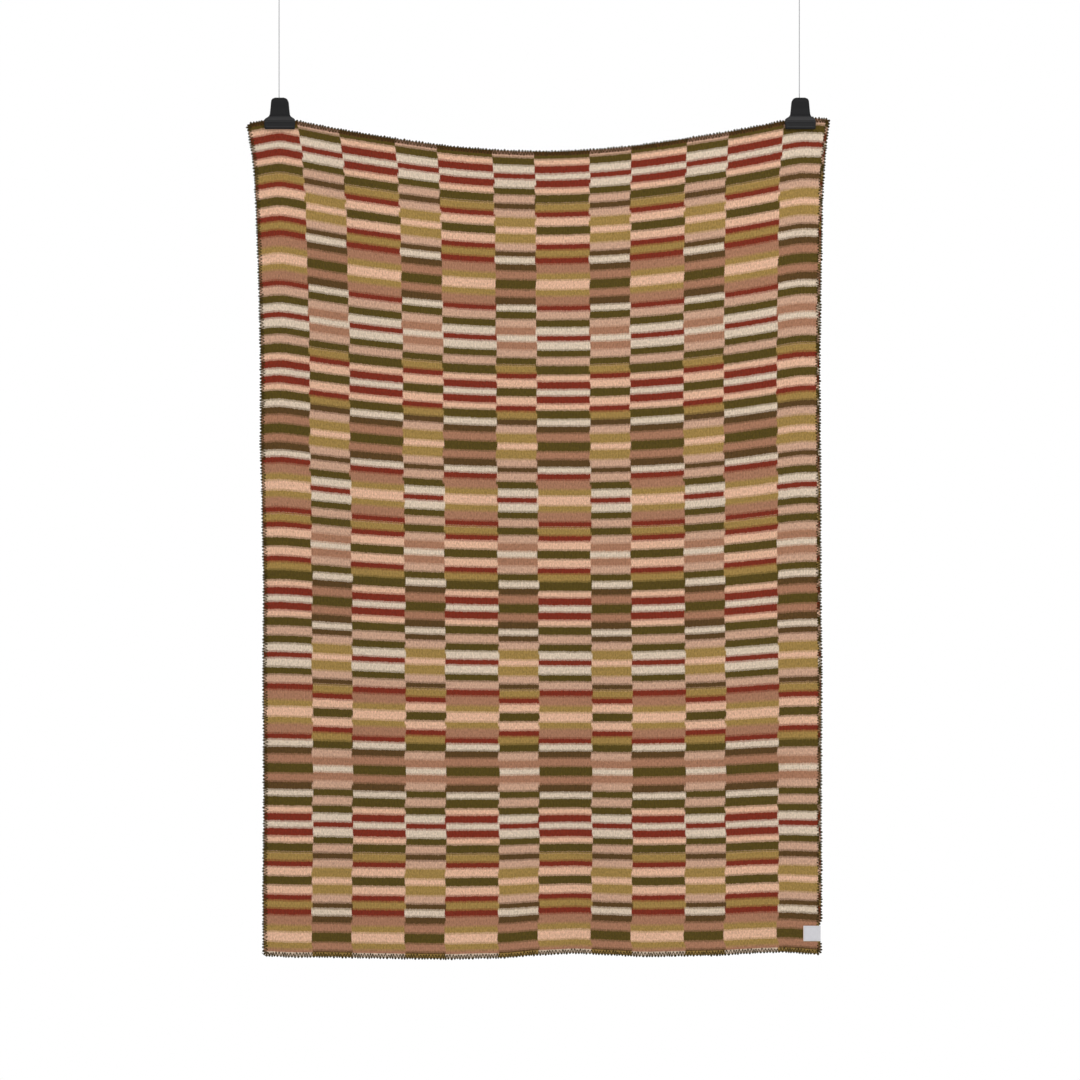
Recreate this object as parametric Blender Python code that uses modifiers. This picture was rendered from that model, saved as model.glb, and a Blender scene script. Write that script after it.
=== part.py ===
"""A woven wool blanket that hangs by two black spring clips from two taut steel wires.

Metres, +Z up, and the viewer looks along +Y with +X to the right. The origin lies midway
between the two ceiling fittings, on the level of their top faces, so the blanket is below it.
"""

import math
from collections import namedtuple

import bmesh
import bpy
import numpy as np
from mathutils import Matrix

# Gap that touching pieces keep
SEAT_GAP = 0.0003

# The cloth as it hangs, measured down from its top edge at the clips
CLOTH_TOP = -0.334
CLOTH_HEIGHT = 2.013
CLOTH_THICK = 0.003
CORNER_RADIUS = 0.008
TOP_SAG = 0.0855
BEND_AT_TOP = 1.7
BEND_BELOW = 2.4
BEND_CHANGE = 0.4
PEAK_ROUND = 0.006
BELLY = 0.010
BELLY_REACH = 0.45
FLAT_AT_CLIP = 0.085
FLAT_AT_LABEL = 0.070
FLAT_BLEND = 0.22
HEM_POWER = 6
COLUMNS = 38
ROWS = 48
EDGE_DENSITY = 0.62

# One row for each side of the cloth. reach is how far the flare at the top fades down.
Side = namedtuple("Side", "sign half_width flare reach sag_power corner_droop")
LEFT = Side(-1, 0.6618, 0.041, 0.26, 1.40, 0.017)
RIGHT = Side(1, 0.6742, 0.021, 0.13, 1.15, 0.005)

# One row for each soft vertical fold. across is a share of the width, and a depth above
# zero turns away from the viewer.
Fold = namedtuple("Fold", "across_top across_hem half_width depth_top depth_hem")
FOLDS = (
    Fold(0.10, 0.13, 0.045, -0.002, 0.008),
    Fold(0.22, 0.27, 0.070, -0.006, -0.009),
    Fold(0.36, 0.41, 0.050, 0.004, 0.006),
    Fold(0.49, 0.55, 0.075, -0.006, 0.013),
    Fold(0.63, 0.67, 0.055, 0.003, -0.008),
    Fold(0.78, 0.79, 0.065, -0.006, -0.005),
    Fold(0.91, 0.88, 0.045, -0.002, 0.008),
)

# The hem's waves: how far the bottom edge lifts at each place across it
Hem = namedtuple("Hem", "across lift")
HEM = (
    Hem(0.00, 0.0060),
    Hem(0.06, 0.0030),
    Hem(0.16, 0.0010),
    Hem(0.25, 0.0010),
    Hem(0.34, -0.0010),
    Hem(0.42, 0.0000),
    Hem(0.50, 0.0075),
    Hem(0.56, 0.0105),
    Hem(0.62, 0.0080),
    Hem(0.69, 0.0055),
    Hem(0.79, 0.0075),
    Hem(0.935, 0.0148),
    Hem(1.00, 0.0095),
)

# The woven label, folded round the right side edge near the hem
LABEL_WIDTH = 0.041
LABEL_HEIGHT = 0.037
LABEL_RISE = 0.038
LABEL_THICK = 0.0006
LABEL_TURN_STEPS = 8

# The clips, each a little to the right of its wire. Heights are measured up from the foot
# of the jaws.
HALF_SPAN = 0.623
CLIP_SHIFT = 0.002
CLIP_FOOT = -0.364
LEVER_CHAMFER = 0.0016
# One row for each section of a lever. inner and outer are distances from the cloth's plane.
Section = namedtuple("Section", "height half_width inner outer")
JAW_FACE = CLOTH_THICK / 2 + SEAT_GAP
LEVER = (
    Section(0.0000, 0.0350, JAW_FACE + 0.0012, 0.0088),
    Section(0.0020, 0.0362, JAW_FACE, 0.0102),
    Section(0.0165, 0.0368, JAW_FACE, 0.0102),
    Section(0.0178, 0.0366, JAW_FACE, 0.0090),
    Section(0.0230, 0.0356, JAW_FACE, 0.0084),
    Section(0.0256, 0.0330, JAW_FACE, 0.0081),
    Section(0.0278, 0.0288, JAW_FACE, 0.0078),
    Section(0.0305, 0.0260, JAW_FACE, 0.0076),
    Section(0.0345, 0.0243, 0.0046, 0.0077),
    Section(0.0480, 0.0230, 0.0052, 0.0083),
    Section(0.0630, 0.0216, 0.0077, 0.0107),
    Section(0.0685, 0.0204, 0.0087, 0.0116),
    Section(0.0712, 0.0184, 0.0092, 0.0120),
    Section(0.0727, 0.0155, 0.0096, 0.0121),
    Section(0.0735, 0.0110, 0.0101, 0.0120),
)
PIN_HEIGHT = 0.040
PIN_RADIUS = 0.0016
PIN_HALF_LENGTH = 0.0212
LUG_RADIUS = 0.0036
LUG_THICK = 0.003
LUG_EMBED = 0.0062
FRONT_LUG_PLACE = 0.0145
BACK_LUG_PLACE = FRONT_LUG_PLACE + LUG_THICK + SEAT_GAP
ROUND_STEPS = 20

# The torsion spring on the pin, with a leg that presses on each lever
SPRING_WIRE_RADIUS = 0.0006
SPRING_RADIUS = 0.0028
SPRING_TURNS = 4.5
SPRING_PITCH = 0.0016
SPRING_START = 0.0040
SPRING_STEPS = 10
SPRING_SEAT_HEIGHT = 0.0555

# The eye that hangs the clip on its wire
EYE_RADIUS = 0.0040
EYE_THICK = 0.0036
EYE_SHANK_RADIUS = 0.0022
EYE_SHANK_TOP = 0.0150

# The wires and the ceiling fittings
WIRE_RADIUS = 0.0010
WIRE_POINTS = 20
Turn = namedtuple("Turn", "radius height")
FITTING = (
    Turn(0.0000, 0.0000),
    Turn(0.0160, 0.0000),
    Turn(0.0160, -0.0030),
    Turn(0.0148, -0.0044),
    Turn(0.0066, -0.0052),
    Turn(0.0062, -0.0230),
    Turn(0.0040, -0.0256),
    Turn(0.0038, -0.0300),
    Turn(0.0000, -0.0300),
)
FITTING_STEPS = 28

COLLECTION = "Hanging wool blanket"
CUTTERS = "Cutters"

Finish = namedtuple("Finish", "colour roughness metallic")
FINISHES = {
    "wool": Finish((0.300, 0.160, 0.085), 0.95, 0.0),
    "label_tape": Finish((0.800, 0.790, 0.760), 0.80, 0.0),
    "clip_plastic": Finish((0.022, 0.022, 0.021), 0.42, 0.0),
    "spring_steel": Finish((0.420, 0.420, 0.430), 0.30, 1.0),
    "wire_steel": Finish((0.480, 0.480, 0.490), 0.35, 1.0),
    "fitting_metal": Finish((0.620, 0.620, 0.630), 0.28, 1.0),
}


def clear_scene():
    """Remove whatever the file opened with."""
    for item in list(bpy.data.objects):
        bpy.data.objects.remove(item, do_unlink=True)


def new_collection(name):
    """Add a collection to the scene."""
    collection = bpy.data.collections.new(name)
    bpy.context.scene.collection.children.link(collection)
    return collection


def material(name):
    """Return the named finish as a Principled material, made on its first use."""
    found = bpy.data.materials.get(name)
    if found:
        return found
    finish = FINISHES[name]
    made = bpy.data.materials.new(name)
    made.use_nodes = True
    shader = made.node_tree.nodes["Principled BSDF"]
    shader.inputs["Base Color"].default_value = (*finish.colour, 1.0)
    shader.inputs["Roughness"].default_value = finish.roughness
    shader.inputs["Metallic"].default_value = finish.metallic
    made.diffuse_color = (*finish.colour, 1.0)
    return made


def place(name, data, finish, location=(0.0, 0.0, 0.0), turn=0.0):
    """Add an object of the blanket, at its place and turned about the vertical."""
    item = bpy.data.objects.new(name, data)
    item.location = location
    item.rotation_euler = (0.0, 0.0, turn)
    data.materials.append(material(finish))
    bpy.data.collections[COLLECTION].objects.link(item)
    return item


def place_cutter(name, data, location, turn=0.0):
    """Add a hidden helper that another object is joined to or cut by."""
    item = bpy.data.objects.new(name, data)
    item.location = location
    item.rotation_euler = (0.0, 0.0, turn)
    item.hide_render = True
    item.display_type = "WIRE"
    bpy.data.collections[CUTTERS].objects.link(item)
    return item


def boolean(item, helper, operation):
    """Join a helper to an object, or cut it out."""
    modifier = item.modifiers.new(operation.title(), "BOOLEAN")
    modifier.operation = operation
    modifier.solver = "EXACT"
    modifier.object = helper


def mesh_from(name, build):
    """Make a mesh from a function that fills a bmesh, with its faces turned outwards."""
    shape = bmesh.new()
    build(shape)
    bmesh.ops.recalc_face_normals(shape, faces=shape.faces)
    data = bpy.data.meshes.new(name)
    shape.to_mesh(data)
    shape.free()
    return data


def ease(share):
    """Blend from 0 to 1 with level ends."""
    share = np.clip(share, 0.0, 1.0)
    return share * share * (3.0 - 2.0 * share)


def eased_table(where, places, values):
    """Read a table of values between its places, level at each of them."""
    places = np.asarray(places)
    values = np.asarray(values)
    step = np.clip(np.searchsorted(places, where, side="right") - 1, 0, len(places) - 2)
    share = (where - places[step]) / (places[step + 1] - places[step])
    return values[step] + (values[step + 1] - values[step]) * ease(share)


def dense_ends(share):
    """Move evenly spaced lines towards both ends of their range."""
    return share - EDGE_DENSITY * np.sin(2.0 * math.pi * share) / (2.0 * math.pi)


def round_corners(across, down):
    """Turn the cloth's square corners into quarter circles, in shares of its sizes."""
    width = LEFT.half_width + RIGHT.half_width
    from_side = np.minimum(across, 1.0 - across) * width
    from_end = np.minimum(down, 1.0 - down) * CLOTH_HEIGHT
    out_x = np.clip(1.0 - from_side / CORNER_RADIUS, 0.0, 1.0)
    out_z = np.clip(1.0 - from_end / CORNER_RADIUS, 0.0, 1.0)
    move_x = CORNER_RADIUS * out_x * (1.0 - np.sqrt(1.0 - out_z**2 / 2.0)) / width
    move_z = CORNER_RADIUS * out_z * (1.0 - np.sqrt(1.0 - out_x**2 / 2.0)) / CLOTH_HEIGHT
    across = across + np.where(across < 0.5, move_x, -move_x)
    down = down + np.where(down < 0.5, move_z, -move_z)
    return across, down


def clip_place(side):
    """Return where a clip's middle is along the hanging line."""
    return side.sign * HALF_SPAN + CLIP_SHIFT


def side_edge(side, down):
    """Return how far out a side edge hangs: it flares towards the clip at the top."""
    return side.half_width + side.flare * np.exp(-CLOTH_HEIGHT * down / side.reach)


def cloth_drop(x, down):
    """Return how far the cloth sags below the level of its clips.

    Between the clips it hangs in a curve that flattens out towards the hem. Outside them its
    corners droop, and the two meet in a rounded peak.
    """
    on_left = x < CLIP_SHIFT
    share = np.abs(x - CLIP_SHIFT) / HALF_SPAN
    power = np.where(on_left, LEFT.sag_power, RIGHT.sag_power)
    fade = (1.0 - down) ** power
    bend = BEND_AT_TOP + (BEND_BELOW - BEND_AT_TOP) * np.clip(down / BEND_CHANGE, 0.0, 1.0)
    between = TOP_SAG * fade * (1.0 - share**bend)
    droop = np.where(on_left, LEFT.corner_droop, RIGHT.corner_droop)
    overhang = np.where(on_left, side_edge(LEFT, 0.0), side_edge(RIGHT, 0.0)) / HALF_SPAN - 1.0
    outside = droop * fade * (share - 1.0) / overhang
    return (between + outside + np.sqrt((between - outside) ** 2 + PEAK_ROUND**2)) / 2.0


def fold_depth(x, z, across, down):
    """Return how far the folds push the cloth out of its plane.

    Each fold is a soft ridge that wanders from its place at the top to its place at the hem.
    The slack top swings a little towards the viewer. The cloth lies flat in the clips and
    under the label.
    """
    depth = -BELLY * (1.0 - np.clip(np.abs(x) / HALF_SPAN, 0.0, 1.0) ** 2)
    depth = depth * np.exp(-CLOTH_HEIGHT * down / BELLY_REACH)
    for fold in FOLDS:
        centre = fold.across_top + (fold.across_hem - fold.across_top) * down
        height = fold.depth_top + (fold.depth_hem - fold.depth_top) * down
        depth = depth + height * np.exp(-(((across - centre) / fold.half_width) ** 2))
    for side in (LEFT, RIGHT):
        from_clip = np.hypot(x - clip_place(side), z - CLOTH_TOP)
        depth = depth * ease((from_clip - FLAT_AT_CLIP) / FLAT_BLEND)
    from_label = np.hypot(x - RIGHT.half_width, z - label_height())
    return depth * ease((from_label - FLAT_AT_LABEL) / FLAT_BLEND)


def label_height():
    """Return the height of the label's middle."""
    return CLOTH_TOP - CLOTH_HEIGHT + LABEL_RISE + LABEL_HEIGHT / 2


def cloth_surface(across, down):
    """Return the middle surface of the hanging cloth, from shares across and down it."""
    across, down = round_corners(across, down)
    x = -side_edge(LEFT, down) * (1.0 - across) + side_edge(RIGHT, down) * across
    lift = eased_table(across, [row.across for row in HEM], [row.lift for row in HEM])
    z = CLOTH_TOP - CLOTH_HEIGHT * down - cloth_drop(x, down) + lift * down**HEM_POWER
    return x, fold_depth(x, z, across, down), z


def make_blanket():
    """Hang the cloth: a flat grid, moved to its surface and given its thickness."""
    data = mesh_from(
        "blanket",
        lambda shape: bmesh.ops.create_grid(shape, x_segments=COLUMNS, y_segments=ROWS, size=0.5),
    )
    flat = np.empty(3 * len(data.vertices), dtype=np.float32)
    data.vertices.foreach_get("co", flat)
    flat = flat.reshape(-1, 3).astype(float)
    across = dense_ends(flat[:, 0] + 0.5)
    down = dense_ends(0.5 - flat[:, 1])
    hung = np.stack(cloth_surface(np.clip(across, 0.0, 1.0), np.clip(down, 0.0, 1.0)), axis=1)
    data.vertices.foreach_set("co", hung.astype(np.float32).ravel())
    data.update()
    data.shade_smooth()
    cloth = place("blanket", data, "wool")
    wall = cloth.modifiers.new("Thickness", "SOLIDIFY")
    wall.thickness = CLOTH_THICK
    wall.offset = 0.0
    return cloth


def make_label():
    """Fold the woven label round the cloth's right side edge."""
    rise = CLOTH_HEIGHT - LABEL_RISE - LABEL_HEIGHT / 2
    edge = float(side_edge(RIGHT, rise / CLOTH_HEIGHT))
    clear = CLOTH_THICK / 2 + SEAT_GAP + LABEL_THICK / 2
    angles = np.linspace(-math.pi / 2, math.pi / 2, LABEL_TURN_STEPS + 1)
    turn = [(clear * math.cos(angle), clear * math.sin(angle)) for angle in angles]
    profile = [(-LABEL_WIDTH, -clear), *turn, (-LABEL_WIDTH, clear)]

    def build(shape):
        levels = (-LABEL_HEIGHT / 2, LABEL_HEIGHT / 2)
        lower, upper = [[shape.verts.new((x, y, level)) for x, y in profile] for level in levels]
        for here in range(len(profile) - 1):
            shape.faces.new((lower[here], lower[here + 1], upper[here + 1], upper[here]))

    label = place("label", mesh_from("label", build), "label_tape", (edge, 0.0, label_height()))
    wall = label.modifiers.new("Thickness", "SOLIDIFY")
    wall.thickness = LABEL_THICK
    wall.offset = 0.0
    wall.use_even_offset = True
    return label


def lever_mesh():
    """Loft a lever through its sections, each a rectangle with its corners cut off."""

    def build(shape):
        rings = []
        for section in LEVER:
            cut = min(LEVER_CHAMFER, (section.outer - section.inner) * 0.4)
            wide = section.half_width
            outline = (
                (-wide, -section.inner),
                (wide, -section.inner),
                (wide, -section.outer + cut),
                (wide - cut, -section.outer),
                (-wide + cut, -section.outer),
                (-wide, -section.outer + cut),
            )
            rings.append([shape.verts.new((x, y, section.height)) for x, y in outline])
        for low, high in zip(rings, rings[1:]):
            for here in range(len(low)):
                after = (here + 1) % len(low)
                shape.faces.new((low[here], low[after], high[after], high[here]))
        shape.faces.new(rings[0])
        shape.faces.new(rings[-1])

    return mesh_from("lever", build)


def lug_mesh(lug_place):
    """Make a lever's pair of lugs, from inside its wall to round the pin."""

    def build(shape):
        angles = np.linspace(0.0, math.pi, ROUND_STEPS // 2 + 1)
        outline = [(LUG_RADIUS * math.sin(a), LUG_RADIUS * math.cos(a)) for a in angles]
        outline = [(-LUG_EMBED, LUG_RADIUS), *outline, (-LUG_EMBED, -LUG_RADIUS)]
        for sign in (-1, 1):
            low = sign * lug_place - LUG_THICK / 2
            ring = [shape.verts.new((low, y, PIN_HEIGHT + z)) for y, z in outline]
            flat = shape.faces.new(ring)
            grown = bmesh.ops.extrude_face_region(shape, geom=[flat])["geom"]
            moved = [part for part in grown if isinstance(part, bmesh.types.BMVert)]
            bmesh.ops.translate(shape, verts=moved, vec=(LUG_THICK, 0.0, 0.0))

    return mesh_from("lugs", build)


def rod_mesh(name, radius, half_length):
    """Make a round rod along X at the height of the clip's pin."""

    def build(shape):
        lay = Matrix.Translation((0.0, 0.0, PIN_HEIGHT)) @ Matrix.Rotation(math.pi / 2, 4, "Y")
        bmesh.ops.create_cone(
            shape,
            cap_ends=True,
            segments=ROUND_STEPS,
            radius1=radius,
            radius2=radius,
            depth=2 * half_length,
            matrix=lay,
        )

    return mesh_from(name, build)


def make_lever(name, foot, turn, lug_place):
    """Make one lever of a clip: its body, joined to its lugs, with the pin's hole through."""
    lever = place(name, lever_mesh(), "clip_plastic", foot, turn)
    lugs = place_cutter(f"{name}_lugs", lug_mesh(lug_place), foot, turn)
    hole = rod_mesh(f"{name}_hole", PIN_RADIUS + SEAT_GAP, PIN_HALF_LENGTH + 0.01)
    boolean(lever, lugs, "UNION")
    boolean(lever, place_cutter(f"{name}_hole", hole, foot, turn), "DIFFERENCE")
    return lever


def spring_route():
    """Return the spring's points: a leg to each lever and the coil round the pin between.

    The coil starts level with the front lever and ends level with the back one, half a turn
    on, so the legs leave it upwards on opposite sides.
    """
    steps = int(SPRING_TURNS * SPRING_STEPS)
    turns = np.linspace(0.0, SPRING_TURNS, steps + 1)
    angle = math.pi + 2.0 * math.pi * turns
    along = SPRING_START + SPRING_PITCH * turns
    coil = list(zip(along, SPRING_RADIUS * np.cos(angle), PIN_HEIGHT + SPRING_RADIUS * np.sin(angle)))
    seat = lever_inner(SPRING_SEAT_HEIGHT) - SEAT_GAP - SPRING_WIRE_RADIUS * 1.25
    first = (coil[0][0], -seat, SPRING_SEAT_HEIGHT)
    last = (coil[-1][0], seat, SPRING_SEAT_HEIGHT)
    return [first, *coil, last]


def lever_inner(height):
    """Return the distance of a lever's inner face from the cloth's plane at a height."""
    return float(np.interp(height, [row.height for row in LEVER], [row.inner for row in LEVER]))


def tube_curve(name, points, radius):
    """Make a round tube along points, with its ends closed."""
    curve = bpy.data.curves.new(name, "CURVE")
    curve.dimensions = "3D"
    curve.bevel_depth = radius
    curve.bevel_resolution = 2
    curve.use_fill_caps = True
    spline = curve.splines.new("POLY")
    spline.points.add(len(points) - 1)
    for point, where in zip(spline.points, points):
        point.co = (*where, 1.0)
    return curve


def make_eye(name, foot):
    """Make the eye round the pin, with the shank that the wire is crimped into."""
    ring = rod_mesh(name, EYE_RADIUS, EYE_THICK / 2)
    eye = place(name, ring, "wire_steel", foot)

    def build(shape):
        length = EYE_SHANK_TOP - PIN_RADIUS - 2 * SEAT_GAP
        middle = PIN_HEIGHT + EYE_SHANK_TOP - length / 2
        bmesh.ops.create_cone(
            shape,
            cap_ends=True,
            segments=ROUND_STEPS,
            radius1=EYE_SHANK_RADIUS,
            radius2=EYE_SHANK_RADIUS,
            depth=length,
            matrix=Matrix.Translation((0.0, 0.0, middle)),
        )

    shank = place_cutter(f"{name}_shank", mesh_from(f"{name}_shank", build), foot)
    hole = rod_mesh(f"{name}_hole", PIN_RADIUS + SEAT_GAP, EYE_THICK)
    boolean(eye, shank, "UNION")
    boolean(eye, place_cutter(f"{name}_hole", hole, foot), "DIFFERENCE")
    return eye


def make_clip(side_name, side):
    """Make a spring clip: two levers on a pin, their spring and the hanging eye."""
    foot = (clip_place(side), 0.0, CLIP_FOOT)
    make_lever(f"clip_{side_name}_front", foot, 0.0, FRONT_LUG_PLACE)
    make_lever(f"clip_{side_name}_back", foot, math.pi, BACK_LUG_PLACE)
    pin = rod_mesh(f"clip_{side_name}_pin", PIN_RADIUS, PIN_HALF_LENGTH)
    place(f"clip_{side_name}_pin", pin, "spring_steel", foot)
    spring = tube_curve(f"clip_{side_name}_spring", spring_route(), SPRING_WIRE_RADIUS)
    place(f"clip_{side_name}_spring", spring, "spring_steel", foot)
    make_eye(f"clip_{side_name}_eye", (side.sign * HALF_SPAN, 0.0, CLIP_FOOT))


def make_wire(side_name, side):
    """Run a taut wire from the clip's eye up to its ceiling fitting."""
    x = side.sign * HALF_SPAN
    low = CLIP_FOOT + PIN_HEIGHT + EYE_SHANK_TOP + SEAT_GAP
    high = FITTING[-1].height - SEAT_GAP
    points = [(x, 0.0, z) for z in np.linspace(low, high, WIRE_POINTS)]
    place(f"wire_{side_name}", tube_curve(f"wire_{side_name}", points, WIRE_RADIUS), "wire_steel")


def make_fitting(side_name, side):
    """Turn a ceiling fitting from its profile, its flat top at the level of the origin."""
    data = bpy.data.meshes.new(f"ceiling_fitting_{side_name}")
    points = [(row.radius, 0.0, row.height) for row in FITTING]
    data.from_pydata(points, [(here, here + 1) for here in range(len(points) - 1)], [])
    top = (side.sign * HALF_SPAN, 0.0, 0.0)
    fitting = place(f"ceiling_fitting_{side_name}", data, "fitting_metal", top)
    screw = fitting.modifiers.new("Turn", "SCREW")
    screw.steps = FITTING_STEPS
    screw.render_steps = FITTING_STEPS
    screw.use_merge_vertices = True
    screw.merge_threshold = 0.00005
    return fitting


def main():
    """Build the blanket and all that it hangs from."""
    clear_scene()
    new_collection(COLLECTION)
    new_collection(CUTTERS)
    make_blanket()
    make_label()
    for side_name, side in (("left", LEFT), ("right", RIGHT)):
        make_clip(side_name, side)
        make_wire(side_name, side)
        make_fitting(side_name, side)


main()
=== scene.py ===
"""Looks of the wool blanket that hangs by its top corners from two spring clips on taut wires.

The cloth, its overcast edge, the label and the clips' levers are surfaces worked out with numpy
on the solids' own sizes. Every finish is a material made of nodes.
"""

import logging
import math
from dataclasses import dataclass, field
from enum import Enum
from typing import Any, Mapping, Sequence

import bpy
import numpy as np
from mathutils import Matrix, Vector

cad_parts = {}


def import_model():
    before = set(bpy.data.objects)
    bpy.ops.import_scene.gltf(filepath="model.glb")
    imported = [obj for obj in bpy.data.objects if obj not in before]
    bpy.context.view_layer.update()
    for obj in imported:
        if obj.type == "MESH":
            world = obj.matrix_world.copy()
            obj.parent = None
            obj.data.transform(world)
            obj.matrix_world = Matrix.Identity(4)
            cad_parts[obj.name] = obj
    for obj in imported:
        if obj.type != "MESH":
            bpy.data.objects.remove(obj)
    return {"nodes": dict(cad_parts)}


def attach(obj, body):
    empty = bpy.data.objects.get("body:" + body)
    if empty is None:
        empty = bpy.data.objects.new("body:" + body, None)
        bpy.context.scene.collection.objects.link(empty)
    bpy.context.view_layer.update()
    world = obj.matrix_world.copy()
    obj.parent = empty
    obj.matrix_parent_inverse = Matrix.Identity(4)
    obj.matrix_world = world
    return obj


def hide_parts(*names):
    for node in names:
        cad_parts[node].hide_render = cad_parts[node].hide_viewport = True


LOG = logging.getLogger("blanket")
Colour = tuple[float, float, float]
Point = tuple[float, float, float]
Solids = Mapping[str, bpy.types.Object]


class Way(Enum):
    """Which side of the cloth something lies on."""

    FRONT = 1.0
    BACK = -1.0


def linear(red: float, green: float, blue: float, gain: float = 1.0) -> Colour:
    """Turn a screen colour of 0 to 255 into a linear one: ((c + 0.055) / 1.055) to the 2.4.

    Args:
        red: The red part, from 0 to 255.
        green: The green part.
        blue: The blue part.
        gain: What the linear colour is multiplied by.

    Returns:
        The linear colour.
    """
    parts = np.array([red, green, blue]) / 255.0
    dark = parts / 12.92
    light = ((parts + 0.055) / 1.055) ** 2.4
    return tuple(float(part) for part in np.where(parts <= 0.04045, dark, light) * gain)


@dataclass
class Signal:
    """A value on its way through a material, with Python's operators adding its Math nodes.

    Attributes:
        recipe: The material under construction.
        socket: The output that gives the value.
    """

    recipe: "Recipe"
    socket: Any

    def _maths(self, operation: str, *values: Any) -> "Signal":
        """Add one Math node.

        Args:
            operation: The node's operation.
            values: Its inputs, numbers or signals.

        Returns:
            The node's value.
        """
        inputs = dict(enumerate(values))
        return self.recipe.node("ShaderNodeMath", {"operation": operation}, inputs)

    def __add__(self, other: Any) -> "Signal":
        """Return this plus other."""
        return self._maths("ADD", self, other)

    def __radd__(self, other: Any) -> "Signal":
        """Return other plus this."""
        return self._maths("ADD", other, self)

    def __sub__(self, other: Any) -> "Signal":
        """Return this less other."""
        return self._maths("SUBTRACT", self, other)

    def __rsub__(self, other: Any) -> "Signal":
        """Return other less this."""
        return self._maths("SUBTRACT", other, self)

    def __mul__(self, other: Any) -> "Signal":
        """Return this times other."""
        return self._maths("MULTIPLY", self, other)

    def __rmul__(self, other: Any) -> "Signal":
        """Return other times this."""
        return self._maths("MULTIPLY", other, self)

    def __truediv__(self, other: Any) -> "Signal":
        """Return this over other."""
        return self._maths("DIVIDE", self, other)

    def __pow__(self, other: Any) -> "Signal":
        """Return this to the power of other."""
        return self._maths("POWER", self, other)

    def __abs__(self) -> "Signal":
        """Return this without its sign."""
        return self._maths("ABSOLUTE", self)

    def __gt__(self, other: Any) -> "Signal":
        """Return 1 where this is more than other, else 0."""
        return self._maths("GREATER_THAN", self, other)

    def __lt__(self, other: Any) -> "Signal":
        """Return 1 where this is less than other, else 0."""
        return self._maths("LESS_THAN", self, other)

    def sine(self) -> "Signal":
        """Return the sine of this, in radians."""
        return self._maths("SINE", self)

    def cosine(self) -> "Signal":
        """Return the cosine of this, in radians."""
        return self._maths("COSINE", self)

    def angle(self, other: "Signal") -> "Signal":
        """Return the angle whose tangent is this over other."""
        return self._maths("ARCTAN2", self, other)

    def whole(self) -> "Signal":
        """Return this rounded down."""
        return self._maths("FLOOR", self)

    def part(self) -> "Signal":
        """Return this less its whole part."""
        return self._maths("FRACT", self)

    def least(self, other: Any) -> "Signal":
        """Return the smaller of this and other."""
        return self._maths("MINIMUM", self, other)

    def swell(self, low: float, high: float) -> "Signal":
        """Rise smoothly from 0 at low to 1 at high.

        Args:
            low: Where it is still 0.
            high: Where it is 1.

        Returns:
            The smooth step.
        """
        inputs = {"Value": self, "From Min": low, "From Max": high}
        settings = {"interpolation_type": "SMOOTHSTEP"}
        return self.recipe.node("ShaderNodeMapRange", settings, inputs)


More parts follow.
